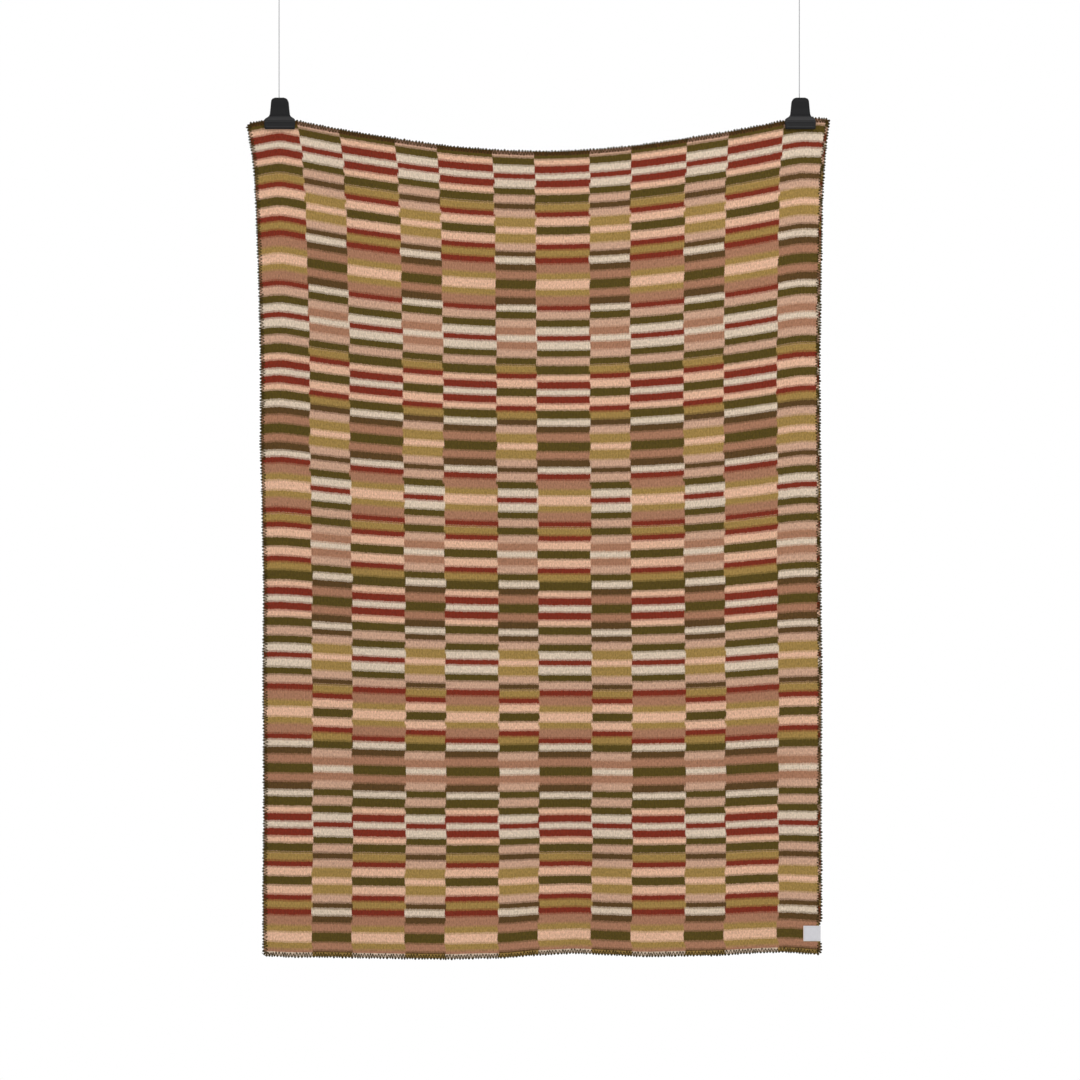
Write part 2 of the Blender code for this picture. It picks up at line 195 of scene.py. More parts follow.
class Recipe:
    """One material under construction: its nodes, its one shader and the links between them."""

    def __init__(self, name: str) -> None:
        """Start an empty material with its output.

        Args:
            name: The material's name.
        """
        self.material = bpy.data.materials.new(name)
        self.material.use_nodes = True
        self.tree = self.material.node_tree
        self.tree.nodes.clear()
        self.shader = self.tree.nodes.new("ShaderNodeBsdfPrincipled")
        ending = self.tree.nodes.new("ShaderNodeOutputMaterial")
        self.tree.links.new(self.shader.outputs[0], ending.inputs["Surface"])

    def feed(self, socket: Any, value: Any) -> None:
        """Give a socket its link or its value.

        Args:
            socket: The input.
            value: A signal, a number, a colour or a vector.
        """
        if isinstance(value, Signal):
            self.tree.links.new(value.socket, socket)
        elif socket.type == "RGBA" and len(value) == 3:
            socket.default_value = (*value, 1.0)
        else:
            socket.default_value = value

    def node(
        self,
        kind: str,
        settings: Mapping[str, Any] | None = None,
        inputs: Mapping[Any, Any] | None = None,
        output: Any = 0,
    ) -> Signal:
        """Add a node.

        Args:
            kind: The node's type.
            settings: Its own settings, set first. A ramp's are its stops and their curve.
            inputs: The value or link of each input, by name or number.
            output: The output that is used, by name or number.

        Returns:
            That output.
        """
        made = self.tree.nodes.new(kind)
        for key, value in (settings or {}).items():
            if key == "stops":
                self._set_stops(made.color_ramp, value)
            elif key == "curve":
                made.color_ramp.interpolation = value
            else:
                setattr(made, key, value)
        for key, value in (inputs or {}).items():
            self.feed(made.inputs[key], value)
        return Signal(self, made.outputs[output])

    def _set_stops(self, ramp: Any, stops: Sequence[tuple[float, Colour]]) -> None:
        """Set the stops of a ramp.

        Args:
            ramp: The ramp.
            stops: The place and colour of each stop, from 0 up.
        """
        for place, _ in stops[1:-1]:
            ramp.elements.new(place)
        for element, (place, colour) in zip(ramp.elements, stops):
            element.position = place
            element.color = (*colour, 1.0)

    def place(self) -> Signal:
        """Return the place on the object, in metres."""
        return self.node("ShaderNodeTexCoord", output="Object")

    def laid(self, name: str) -> Signal:
        """Return the vector that the surface carries under a name."""
        return self.node("ShaderNodeAttribute", {"attribute_name": name}, output="Vector")

    def split(self, vector: Signal) -> tuple[Signal, Signal, Signal]:
        """Split a vector.

        Args:
            vector: The vector.

        Returns:
            Its X, Y and Z.
        """
        first = self.node("ShaderNodeSeparateXYZ", None, {0: vector})
        outputs = first.socket.node.outputs
        return first, Signal(self, outputs[1]), Signal(self, outputs[2])

    def stretch(self, vector: Signal, sizes: Point) -> Signal:
        """Multiply a vector's parts by sizes."""
        settings = {"operation": "MULTIPLY"}
        return self.node("ShaderNodeVectorMath", settings, {0: vector, 1: sizes})

    def noise(
        self, vector: Signal, scale: float, detail: float = 2.0, rough: float = 0.5
    ) -> Signal:
        """Return soft noise from 0 to 1.

        Args:
            vector: Where it is read.
            scale: How many lumps to a metre.
            detail: How many finer layers it has.
            rough: How strong those are.

        Returns:
            The noise.
        """
        inputs = {"Vector": vector, "Scale": scale, "Detail": detail, "Roughness": rough}
        return self.node("ShaderNodeTexNoise", None, inputs)

    def chance(self, value: Signal) -> Signal:
        """Return another random number from 0 to 1 for each value."""
        settings = {"noise_dimensions": "1D"}
        return self.node("ShaderNodeTexWhiteNoise", settings, {"W": value})

    def steps(self, value: Signal, colours: Sequence[tuple[Colour, float]]) -> Signal:
        """Pick one of a row of colours.

        Args:
            value: From 0 to 1.
            colours: The colours, up to 32, each with its width.

        Returns:
            The colour, with no blend between neighbours.
        """
        ends = np.cumsum([width for _, width in colours])
        starts = (ends - [width for _, width in colours]) / ends[-1]
        stops = [(float(start), colour) for start, (colour, _) in zip(starts, colours)]
        settings = {"curve": "CONSTANT", "stops": stops}
        return self.node("ShaderNodeValToRGB", settings, {0: value})

    def blend(self, first: Any, second: Any, share: Any, way: str = "MIX") -> Signal:
        """Mix two colours.

        Args:
            first: The colour at share 0.
            second: The colour at share 1.
            share: How much of the second there is.
            way: The blend type.

        Returns:
            The mixed colour.
        """
        settings = {"data_type": "RGBA", "blend_type": way}
        return self.node("ShaderNodeMix", settings, {0: share, 6: first, 7: second}, 2)

    def shaded(self, colour: Any, light: Signal) -> Signal:
        """Multiply a colour by a brightness."""
        return self.blend(colour, light, 1.0, "MULTIPLY")

    def bump(self, height: Signal, distance: float, strength: float = 1.0) -> Signal:
        """Return the surface's normal over a relief.

        Args:
            height: The relief.
            distance: Its height in metres for each 1 of height.
            strength: How much of it shows.

        Returns:
            The normal.
        """
        inputs = {"Height": height, "Distance": distance, "Strength": strength}
        return self.node("ShaderNodeBump", None, inputs)

    def dress(self, **inputs: Any) -> bpy.types.Material:
        """Feed the shader and finish the material.

        Args:
            inputs: The shader's inputs, with _ for a space in each name.

        Returns:
            The material.
        """
        for name, value in inputs.items():
            self.feed(self.shader.inputs[name.replace("_", " ")], value)
        return self.material


DYES: dict[str, Colour] = {
    "olive": linear(84, 68, 15),
    "umber": linear(88, 62, 27),
    "russet": linear(92, 42, 20),
    "brick": linear(126, 40, 20),
    "rose": linear(169, 120, 92),
    "shell": linear(205, 164, 138),
    "peach": linear(230, 184, 154),
    "khaki": linear(161, 130, 69),
    "cream": linear(223, 203, 180),
    "hair": linear(206, 172, 136),
}

Bar = tuple[str, int]

# Each weft's bands, from the top edge down. A band is given by its bars as far as the one in its
# middle, each with its dye and its height in units, and repeats them backwards below that. All
# bands are equally high.
FIRST_BANDS: tuple[tuple[Bar, ...], ...] = (
    (("olive", 5), ("peach", 3), ("brick", 4), ("cream", 3)),
    (("umber", 3), ("shell", 4), ("khaki", 5), ("peach", 3)),
    (("brick", 3), ("rose", 5), ("khaki", 3), ("peach", 5)),
    (("olive", 4), ("shell", 4), ("rose", 4), ("cream", 3)),
)

SECOND_BANDS: tuple[tuple[Bar, ...], ...] = (
    (("shell", 4), ("olive", 4), ("cream", 4), ("brick", 3)),
    (("khaki", 4), ("brick", 3), ("peach", 4), ("olive", 5)),
    (("cream", 3), ("umber", 4), ("rose", 4), ("olive", 5)),
)


@dataclass(frozen=True)
class WoolFinish:
    """Brushed wool in blocks of short bars: two wefts that change places from block to block.

    Which bars go where is this script's own plain design.

    Attributes:
        unit: What the bars' heights are counted in.
        row: Height of one straight length of a block's border, in units.
        band: Height of one band, in units.
        pair: Width of two neighbouring blocks.
        share: The first one's share of that.
        start: How far the pattern starts outside the cloth, across and down.
        stray: How far a block's side border strays from row to row.
        nap: How far the nap of one bar lies over the next.
        head: Where the dark row under the top edge's stitches begins and ends to fade.
        hem: How far over the hem the row under its stitches begins and ends to fade.
        rib: Distance between two warp threads.
        pick: Distance between two turns of weft.
        length: The cloth's length.
        gain: How light the dyes are under this scene's light.
    """

    unit: float = 0.0050
    row: float = 3.0
    band: float = 27.0
    pair: float = 0.226
    share: float = 0.57
    start: tuple[float, float] = (0.012, 0.0055)
    stray: float = 0.005
    nap: float = 0.0021
    head: tuple[float, float] = (0.0088, 0.0108)
    hem: tuple[float, float] = (0.0112, 0.0092)
    rib: float = 0.0036
    pick: float = 0.0017
    length: float = 2.0
    gain: float = 0.83

    def dyed(self, name: str) -> Colour:
        """Return a dye as it looks in this scene's light."""
        return tuple(part * self.gain for part in DYES[name])

    def weft(self, mix: Recipe, down: Signal, bands: tuple[tuple[Bar, ...], ...]) -> Signal:
        """Read one weft's colour, band after band, each band there and back.

        Args:
            mix: The material.
            down: The distance down.
            bands: The bars of each band's first half, up to the one in its middle.

        Returns:
            The colour.
        """
        bars = [bar for band in bands for bar in (*band, *band[-2::-1])]
        turn = (down / (self.unit * sum(height for _, height in bars))).part()
        return mix.steps(turn, [(self.dyed(name), float(height)) for name, height in bars])

    def bars(self, mix: Recipe, place: tuple[Signal, Signal, Signal], shift: float) -> Signal:
        """Read the colour of the bar at a place.

        The first weft lies on top in every other block of a band, and in the others of the next
        band. Behind it is the other way.

        Args:
            mix: The material.
            place: Distances across and down, and the face, from 1 in front to -1 behind.
            shift: What is added to the distance down.

        Returns:
            The colour.
        """
        across, down, face = place
        down = down + shift + self.start[1]
        row = down / (self.unit * self.row)
        step = mix.chance(row.whole() + 7.0) - 0.5
        column = ((across + self.start[0] + step * self.stray) / self.pair).part()
        swap = (down / (self.unit * self.band * 2.0)).part() < 0.5
        top = abs((column < self.share) - swap)
        top = abs(top - (face < 0.0))
        first, second = self.weft(mix, down, FIRST_BANDS), self.weft(mix, down, SECOND_BANDS)
        return mix.blend(first, second, top)

    def make(self) -> bpy.types.Material:
        """Make the material.

        The bars' borders are frayed by fibres brushed downwards and by the warp threads. Two
        readings a little apart are mixed, as the nap of one bar lies over the next. The rows
        under the stitches of the top edge and the hem have dyes of their own.

        Returns:
            The material.
        """
        mix = Recipe("wool")
        where = mix.laid("cloth")
        across, down, face = mix.split(where)
        brushed = mix.noise(mix.stretch(where, (1.0, 0.30, 1.0)), 1150.0, 2.0, 0.6)
        fuzz = mix.noise(where, 1700.0, 2.0, 0.6)
        drift = mix.noise(where, 55.0, 1.0)
        strand = (across / self.rib).whole() + (down / (self.unit * self.row)).whole() * 0.37
        rib = mix.chance(strand) - 0.5
        fray = (brushed - 0.5) * 0.0075 + (fuzz - 0.5) * 0.0030 + (drift - 0.5) * 0.0014
        down_there = down + fray + rib * 0.0010
        across_there = across + (fuzz - 0.5) * 0.0060 + (drift - 0.5) * 0.0030
        place = (across_there, down_there, face)
        above, below = self.bars(mix, place, -self.nap), self.bars(mix, place, self.nap)
        colour = mix.blend(above, below, 0.5 + (brushed - 0.5) * 0.8)
        row = down + fray * 0.5
        hem = row.swell(self.length - self.hem[0], self.length - self.hem[1])
        block = ((across_there + self.start[0]) / self.pair).part() < self.share
        hem_colour = mix.blend(self.dyed("khaki"), self.dyed("cream"), block)
        colour = mix.blend(colour, hem_colour, hem * 0.85)
        head = 1.0 - row.swell(*self.head)
        colour = mix.blend(colour, self.dyed("russet"), head * 0.62)
        earthy = mix.noise(mix.stretch(where, (0.55, 1.0, 1.0)), 210.0, 3.0, 0.65)
        colour = mix.blend(colour, self.dyed("umber"), earthy.swell(0.50, 0.78) * 0.26)

        streak = mix.noise(mix.stretch(where, (1.0, 0.22, 1.0)), 700.0, 3.0, 0.65)
        fibre = mix.noise(mix.place(), 1500.0, 2.0, 0.7)
        heather = mix.noise(mix.stretch(where, (1.0, 0.50, 1.0)), 290.0, 2.0, 0.6)
        cloud = mix.noise(mix.place(), 5.0, 2.0)
        thread = (across * (2.0 * math.pi / self.rib)).sine()
        stagger = ((across / (2.0 * self.rib)).part() > 0.5) * math.pi
        turns = (down * (2.0 * math.pi / self.pick) + stagger).sine()
        # Painted shade between warp ribs and weft turns (thread, turns); the noise is uneven tone.
        light = 1.0 + (streak - 0.5) * 0.85 + (fibre - 0.5) * 0.45 + (cloud - 0.5) * 0.12
        light = light + (heather - 0.5) * 1.05 + thread * 0.085 + turns * 0.03
        colour = mix.shaded(colour, light)
        colour = mix.blend(colour, self.dyed("hair"), fibre.swell(0.60, 0.80) * 0.14)

        clump = mix.noise(mix.stretch(where, (1.0, 0.55, 1.0)), 260.0, 3.0, 0.6)
        relief = thread * 0.35 + turns * 0.22 + streak * 0.7 + clump * 0.9 + fibre * 0.35
        return mix.dress(
            Base_Color=colour,
            Roughness=0.95,
            Normal=mix.bump(relief, 0.00085),
            Sheen_Weight=0.08,
            Sheen_Roughness=0.55,
            Specular_IOR_Level=0.10,
        )


@dataclass(frozen=True)
class YarnFinish:
    """Plied woollen yarn, for the overcast edge.

    Attributes:
        colour: The yarn's dye.
        hair: The colour of the fibres that stand out from it.
        ply: Length of one turn of the plies.
    """

    colour: Colour = linear(56, 44, 11)
    hair: Colour = linear(140, 118, 72)
    ply: float = 0.0034

    def make(self) -> bpy.types.Material:
        """Make the material: two plies wind round the yarn as the sine of length plus angle.

        Returns:
            The material.
        """
        mix = Recipe("edge_yarn")
        along, cosine, sine = mix.split(mix.laid("yarn"))
        wound = along * (2.0 * math.pi / self.ply)
        twist = wound.sine() * cosine + wound.cosine() * sine
        fibre = mix.noise(mix.place(), 2100.0, 3.0, 0.7)
        cloud = mix.noise(mix.place(), 40.0, 2.0)
        # Painted shade between the plies comes from twist; the noise is the yarn's uneven tone.
        light = 0.92 + twist * 0.16 + (fibre - 0.5) * 0.7 + (cloud - 0.5) * 0.35
        colour = mix.shaded(self.colour, light)
        colour = mix.blend(colour, self.hair, fibre.swell(0.58, 0.8) * 0.08)
        return mix.dress(
            Base_Color=colour,
            Roughness=0.95,
            Normal=mix.bump(twist * 0.8 + fibre * 0.8, 0.00035),
            Sheen_Weight=0.04,
            Sheen_Roughness=0.5,
            Specular_IOR_Level=0.08,
        )


@dataclass(frozen=True)
class TapeFinish:
    """Woven label tape, bare, with a fine stitched line inside its edges.

    Attributes:
        height: The tape's height.
        warp: Distance between two threads across.
        weft: Distance between two threads up.
        inset: How far inside its edges the line runs.
        half_line: Half the line's width.
        pitch: Distance between two of the line's dots.
        tape: The tape's colour.
        cut: Its colour along the cut ends.
        foot: Its colour along the lower edge.
        thread: The line's colour.
    """

    height: float
    warp: float = 0.00042
    weft: float = 0.00036
    inset: float = 0.0034
    half_line: float = 0.00035
    pitch: float = 0.0016
    tape: Colour = linear(204, 203, 207)
    cut: Colour = linear(222, 196, 184)
    foot: Colour = linear(196, 190, 160)
    thread: Colour = linear(150, 148, 150)

    def make(self) -> bpy.types.Material:
        """Make the material: fine crossed threads, and dots where the nearest edge is inset away.

        Returns:
            The material.
        """
        mix = Recipe("label_tape")
        across, up, _ = mix.split(mix.laid("tape"))
        warp = (across * (2.0 * math.pi / self.warp)).sine()
        weft = (up * (2.0 * math.pi / self.weft)).sine()
        cloud = mix.noise(mix.place(), 160.0, 3.0)
        half = self.height / 2.0
        near = across.least(half - abs(up))
        line = 1.0 - (abs(near - self.inset) / self.half_line).swell(0.6, 1.4)
        dots = ((across + up) * (2.0 * math.pi / self.pitch)).sine().swell(-0.4, 0.5)
        end = 1.0 - across.swell(0.0004, 0.0021)
        foot = 1.0 - (up + half).swell(0.0003, 0.0018)
        colour = mix.blend(self.tape, self.cut, end * 0.8)
        colour = mix.blend(colour, self.foot, foot * 0.75)
        colour = mix.blend(colour, self.thread, line * dots * 0.55)
        # Painted shade where the threads cross comes from warp and weft; cloud is uneven tone.
        light = 0.86 + warp * weft * 0.05 + (cloud - 0.5) * 0.10
        return mix.dress(
            Base_Color=mix.shaded(colour, light),
            Roughness=0.62 + warp * weft * 0.05,
            Normal=mix.bump(warp * 0.5 + weft * 0.5 + line * 0.8, 0.00006),
            Sheen_Weight=0.08,
            Specular_IOR_Level=0.3,
        )


@dataclass(frozen=True)
class PlasticFinish:
    """Satin moulded plastic, for the clips' levers.

    Attributes:
        colour: Its colour.
        specks: The colour of its specks of dust.
        top_light_colour: The colour of the painted light on what faces up, as if lit from above.
    """

    colour: Colour = (0.0092, 0.0092, 0.0099)
    specks: Colour = (0.040, 0.039, 0.037)
    top_light_colour: Colour = (0.046, 0.045, 0.046)

    def make(self) -> bpy.types.Material:
        """Make the material: spark texture, flow marks, specks, and painted light on what faces up.

        Returns:
            The material.
        """
        mix = Recipe("clip_plastic")
        place = mix.place()
        spark = mix.noise(place, 3600.0, 2.0, 0.6)
        flow = mix.noise(mix.stretch(place, (0.5, 1.0, 2.2)), 70.0, 3.0, 0.55)
        dust = mix.noise(place, 420.0, 4.0, 0.7).swell(0.56, 0.80)
        _, _, up = mix.split(mix.node("ShaderNodeNewGeometry", output="Normal"))
        # Painted light: what faces up is made lighter as if lit from above, flecked by the dust.
        painted_top_light = up.swell(-0.14, 0.36) * (0.85 + dust * 0.30)
        colour = mix.blend(self.colour, self.specks, dust * 0.22)
        colour = mix.blend(colour, self.top_light_colour, painted_top_light * 0.52)
        colour = mix.shaded(colour, 0.85 + flow * 0.30)
        return mix.dress(
            Base_Color=colour,
            Roughness=0.44 + flow * 0.14 + dust * 0.12,
            Normal=mix.bump(spark * 0.6 + flow * 0.25, 0.00004),
            Specular_IOR_Level=0.12,
        )


@dataclass(frozen=True)
class SteelFinish:
    """Drawn or turned steel, for springs, pins, eyes and ceiling fittings.

    Attributes:
        name: The material's name.
        colour: Its colour.
        rough: Its roughness.
    """

    name: str
    colour: Colour = (0.60, 0.60, 0.61)
    rough: float = 0.28

    def make(self) -> bpy.types.Material:
        """Make the material: fine draw marks round the part and a faint haze.

        Returns:
            The material.
        """
        mix = Recipe(self.name)
        place = mix.place()
        marks = mix.noise(mix.stretch(place, (0.06, 0.06, 1.0)), 6000.0, 2.0, 0.6)
        haze = mix.noise(place, 300.0, 3.0, 0.6)
        return mix.dress(
            Base_Color=mix.shaded(self.colour, 0.86 + haze * 0.24),
            Metallic=1.0,
            Roughness=self.rough + (marks - 0.5) * 0.16 + (haze - 0.5) * 0.10,
            Normal=mix.bump(marks, 0.00002),
        )


@dataclass(frozen=True)
class RopeFinish:
    """Fine steel rope, its strands wound round it.

    Attributes:
        middle: The rope's place along X.
        lay: Length of one turn of a strand.
        strands: How many strands it has.
        colour: Its colour.
    """

    middle: float
    lay: float = 0.014
    strands: int = 7
    colour: Colour = (0.30, 0.30, 0.31)

    def make(self) -> bpy.types.Material:
        """Make the material: strands are the sine of angle round plus height along.

        Returns:
            The material.
        """
        mix = Recipe("wire_steel")
        x, y, z = mix.split(mix.place())
        turn = y.angle(x - self.middle) * float(self.strands)
        strand = (turn + z * (2.0 * math.pi * self.strands / self.lay)).sine()
        haze = mix.noise(mix.place(), 500.0, 2.0)
        # Painted shade between the strands comes from strand; haze is the steel's uneven tone.
        return mix.dress(
            Base_Color=mix.shaded(self.colour, 0.90 + strand * 0.10 + haze * 0.16),
            Metallic=0.35,
            Roughness=0.45 - strand * 0.08,
            Normal=mix.bump(strand, 0.00012),
        )


def ease(share: Any) -> np.ndarray:
    """Rise from 0 to 1 with flat ends: s * s * (3 - 2 s)."""
    share = np.clip(share, 0.0, 1.0)
    return share * share * (3.0 - 2.0 * share)


def lerp(low: Any, high: Any, share: Any) -> np.ndarray:
    """Go straight from low to high as share goes from 0 to 1."""
    return low + (high - low) * share


def eased_table(where: np.ndarray, places: np.ndarray, values: np.ndarray) -> np.ndarray:
    """Read a table with a smooth step between its places.

    Args:
        where: Where it is read.
        places: The table's places, in order.
        values: Its value at each place.

    Returns:
        The values at where.
    """
    after = np.clip(np.searchsorted(places, where, side="right"), 1, len(places) - 1)
    share = (where - places[after - 1]) / (places[after] - places[after - 1])
    return lerp(values[after - 1], values[after], ease(share))


def unit(vectors: np.ndarray) -> np.ndarray:
    """Scale vectors to a length of 1."""
    return vectors / np.maximum(np.linalg.norm(vectors, axis=-1, keepdims=True), 1e-12)


def grid_faces(rows: int, columns: int, closed_rows: bool, closed_columns: bool) -> np.ndarray:
    """Return the four corners of each cell of a grid of points, numbered row by row.

    Args:
        rows: How many rows of points there are.
        columns: How many points a row has.
        closed_rows: Whether the last row joins the first.
        closed_columns: Whether a row's last point joins its first.

    Returns:
        One line of four numbers a cell.
    """
    row, column = np.meshgrid(
        np.arange(rows if closed_rows else rows - 1),
        np.arange(columns if closed_columns else columns - 1),
        indexing="ij",
    )
    below = (row + 1) % rows
    beside = (column + 1) % columns
    corners = [
        row * columns + column,
        row * columns + beside,
        below * columns + beside,
        below * columns + column,
    ]
    return np.stack([corner.ravel() for corner in corners], axis=1)


def repaint(solid: bpy.types.Object, finish: bpy.types.Material) -> None:
    """Give a solid a better material.

    Args:
        solid: The solid.
        finish: The material.
    """
    if not solid.material_slots:
        solid.data.materials.append(finish)
    for held in solid.material_slots:
        held.material = finish
    LOG.info("%s: %s", solid.name, finish.name)


def border_of(number: np.ndarray) -> np.ndarray:
    """Return the numbers along a grid's border, from its first point along the first row."""
    sides = [number[0, :-1], number[:-1, -1], number[-1, :0:-1], number[:0:-1, 0]]
    return np.concatenate(sides)


def end_caps(rows: int, columns: int) -> list[list[int]]:
    """Return the faces that close both ends of a tube: its first ring backwards, and its last."""
    last = (rows - 1) * columns
    return [list(range(columns - 1, -1, -1)), list(range(last, last + columns))]


def solid_measure(points: np.ndarray, faces: np.ndarray) -> float:
    """Measure a closed surface's volume, which is negative where its faces point inwards.

    It is the sum over the cells of a third of the area times the distance from the origin.

    Args:
        points: The surface's points.
        faces: Its cells of four points.

    Returns:
        The signed volume.
    """
    first, second, third, fourth = (points[faces[:, corner]] for corner in range(4))
    whole = np.cross(third - first, fourth - second)
    return float(np.sum((first + second + third + fourth) / 4.0 * whole) / 6.0)


@dataclass
class Shell:
    """A closed surface being gathered for one piece.

    Attributes:
        points: The points, in metres.
        faces: Cells of four points.
        caps: Faces with more corners, each a list of points.
    """

    points: np.ndarray
    faces: np.ndarray
    caps: list[list[int]] = field(default_factory=list)

    def with_other(self, other: "Shell") -> "Shell":
        """Gather this and another shell as one.

        Args:
            other: The other shell.

        Returns:
            Both, the other's numbers moved past this one's.
        """
        past = len(self.points)
        caps = self.caps + [[corner + past for corner in cap] for cap in other.caps]
        points = np.concatenate([self.points, other.points])
        return Shell(points, np.concatenate([self.faces, other.faces + past]), caps)

    def outward(self) -> "Shell":
        """Turn all faces round where the signed volume is negative.

        Returns:
            The shell with its faces outward.
        """
        if solid_measure(self.points, self.faces) >= 0.0:
            return self
        return Shell(self.points, self.faces[:, ::-1], [cap[::-1] for cap in self.caps])


@dataclass(frozen=True)
class Piece:
    """What a finished piece is called and stands for.

    Attributes:
        name: The piece's name.
        slot: The record's material slot.
        nodes: The solids that it stands for.
    """

    name: str
    slot: str
    nodes: tuple[str, ...] = ()

    def finish(self, shape: bpy.types.Object, finish: bpy.types.Material) -> bpy.types.Object:
        """Dress a piece and let it ride on the root body.

        Args:
            shape: The piece.
            finish: Its material.

        Returns:
            The piece.
        """
        shape.data.materials.append(finish)
        bpy.context.scene.collection.objects.link(shape)
        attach(shape, "root")
        if self.nodes:
            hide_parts(*self.nodes)
        LOG.info("%s: %s", self.name, self.slot)
        return shape

    def build(
        self,
        shell: Shell,
        finish: bpy.types.Material,
        laid: Mapping[str, np.ndarray] | None = None,
    ) -> bpy.types.Object:
        """Make the piece's mesh from a shell.

        Args:
            shell: Its surface.
            finish: Its material.
            laid: The vectors that its points carry for the material, by name.

        Returns:
            The piece.
        """
        mesh = bpy.data.meshes.new(self.name)
        cells = shell.faces.tolist() + shell.caps
        mesh.from_pydata(shell.points.tolist(), [], cells)
        mesh.polygons.foreach_set("use_smooth", np.ones(len(mesh.polygons), bool))
        for name, vectors in (laid or {}).items():
            held = mesh.attributes.new(name, "FLOAT_VECTOR", "POINT")
            held.data.foreach_set("vector", vectors.astype(np.float32).ravel())
        mesh.update()
        return self.finish(bpy.data.objects.new(self.name, mesh), finish)


WAVER_PLACES: tuple[float, ...] = (
    0.0, 0.03, 0.056, 0.09, 0.15, 0.22, 0.30, 0.39, 0.45, 0.56, 0.66, 0.75, 0.83, 0.92, 1.0,
)


@dataclass(frozen=True)
class SideEdge:
    """One side edge of the cloth, and how the cloth hangs beside it.

    Attributes:
        sign: -1 on the left and 1 on the right.
        half_width: Its distance from the middle, low down.
        flare: How much further out it is at the top.
        reach: The height over which that fades.
        sag_power: How fast the sag fades downwards.
        corner_droop: How far the top corner hangs below the clip.
        wavers: How far it strays outwards at the shares down of WAVER_PLACES.
    """

    sign: float
    half_width: float
    flare: float
    reach: float
    sag_power: float
    corner_droop: float
    wavers: tuple[float, ...]

    def place(self, down: Any, height: float) -> np.ndarray:
        """Return its distance from the middle.

        It is half width + flare * exp(-down * height / reach) + waver.

        Args:
            down: Shares down.
            height: The cloth's height.

        Returns:
            The distances.
        """
        down = np.asarray(down, float)
        waver = eased_table(down, np.array(WAVER_PLACES), np.array(self.wavers))
        return self.half_width + self.flare * np.exp(-height * down / self.reach) + waver


@dataclass(frozen=True)
class Fold:
    """A soft fold from the top of the cloth to its hem.

    Attributes:
        top: Its place across at the top, as a share of the width.
        hem: Its place at the hem.
        half_width: Its half width, as such a share.
        top_depth: Its depth at the top, away from the viewer.
        hem_depth: Its depth at the hem.
    """

    top: float
    hem: float
    half_width: float
    top_depth: float
    hem_depth: float


@dataclass(frozen=True)
class Crease:
    """A soft trough or ridge that runs from one place to another on the cloth.

    Attributes:
        start: X and Z of its start.
        end: X and Z of its end.
        half_width: Its half width.
        depth: Its depth away from the viewer.
    """

    start: tuple[float, float]
    end: tuple[float, float]
    half_width: float
    depth: float

    def at(self, x: np.ndarray, z: np.ndarray) -> np.ndarray:
        """Return its depth: a bell over the distance from its line, faded towards both ends.

        Args:
            x: Places along X.
            z: Places along Z.

        Returns:
            The depth there.
        """
        run = (self.end[0] - self.start[0], self.end[1] - self.start[1])
        length = run[0] ** 2 + run[1] ** 2
        share = ((x - self.start[0]) * run[0] + (z - self.start[1]) * run[1]) / length
        held = np.clip(share, 0.0, 1.0)
        off_x = x - self.start[0] - held * run[0]
        off_z = z - self.start[1] - held * run[1]
        bell = np.exp(-(off_x**2 + off_z**2) / self.half_width**2)
        return self.depth * bell * ease(held * 4.0 + 0.25) * ease((1.0 - held) * 2.0 + 0.1)


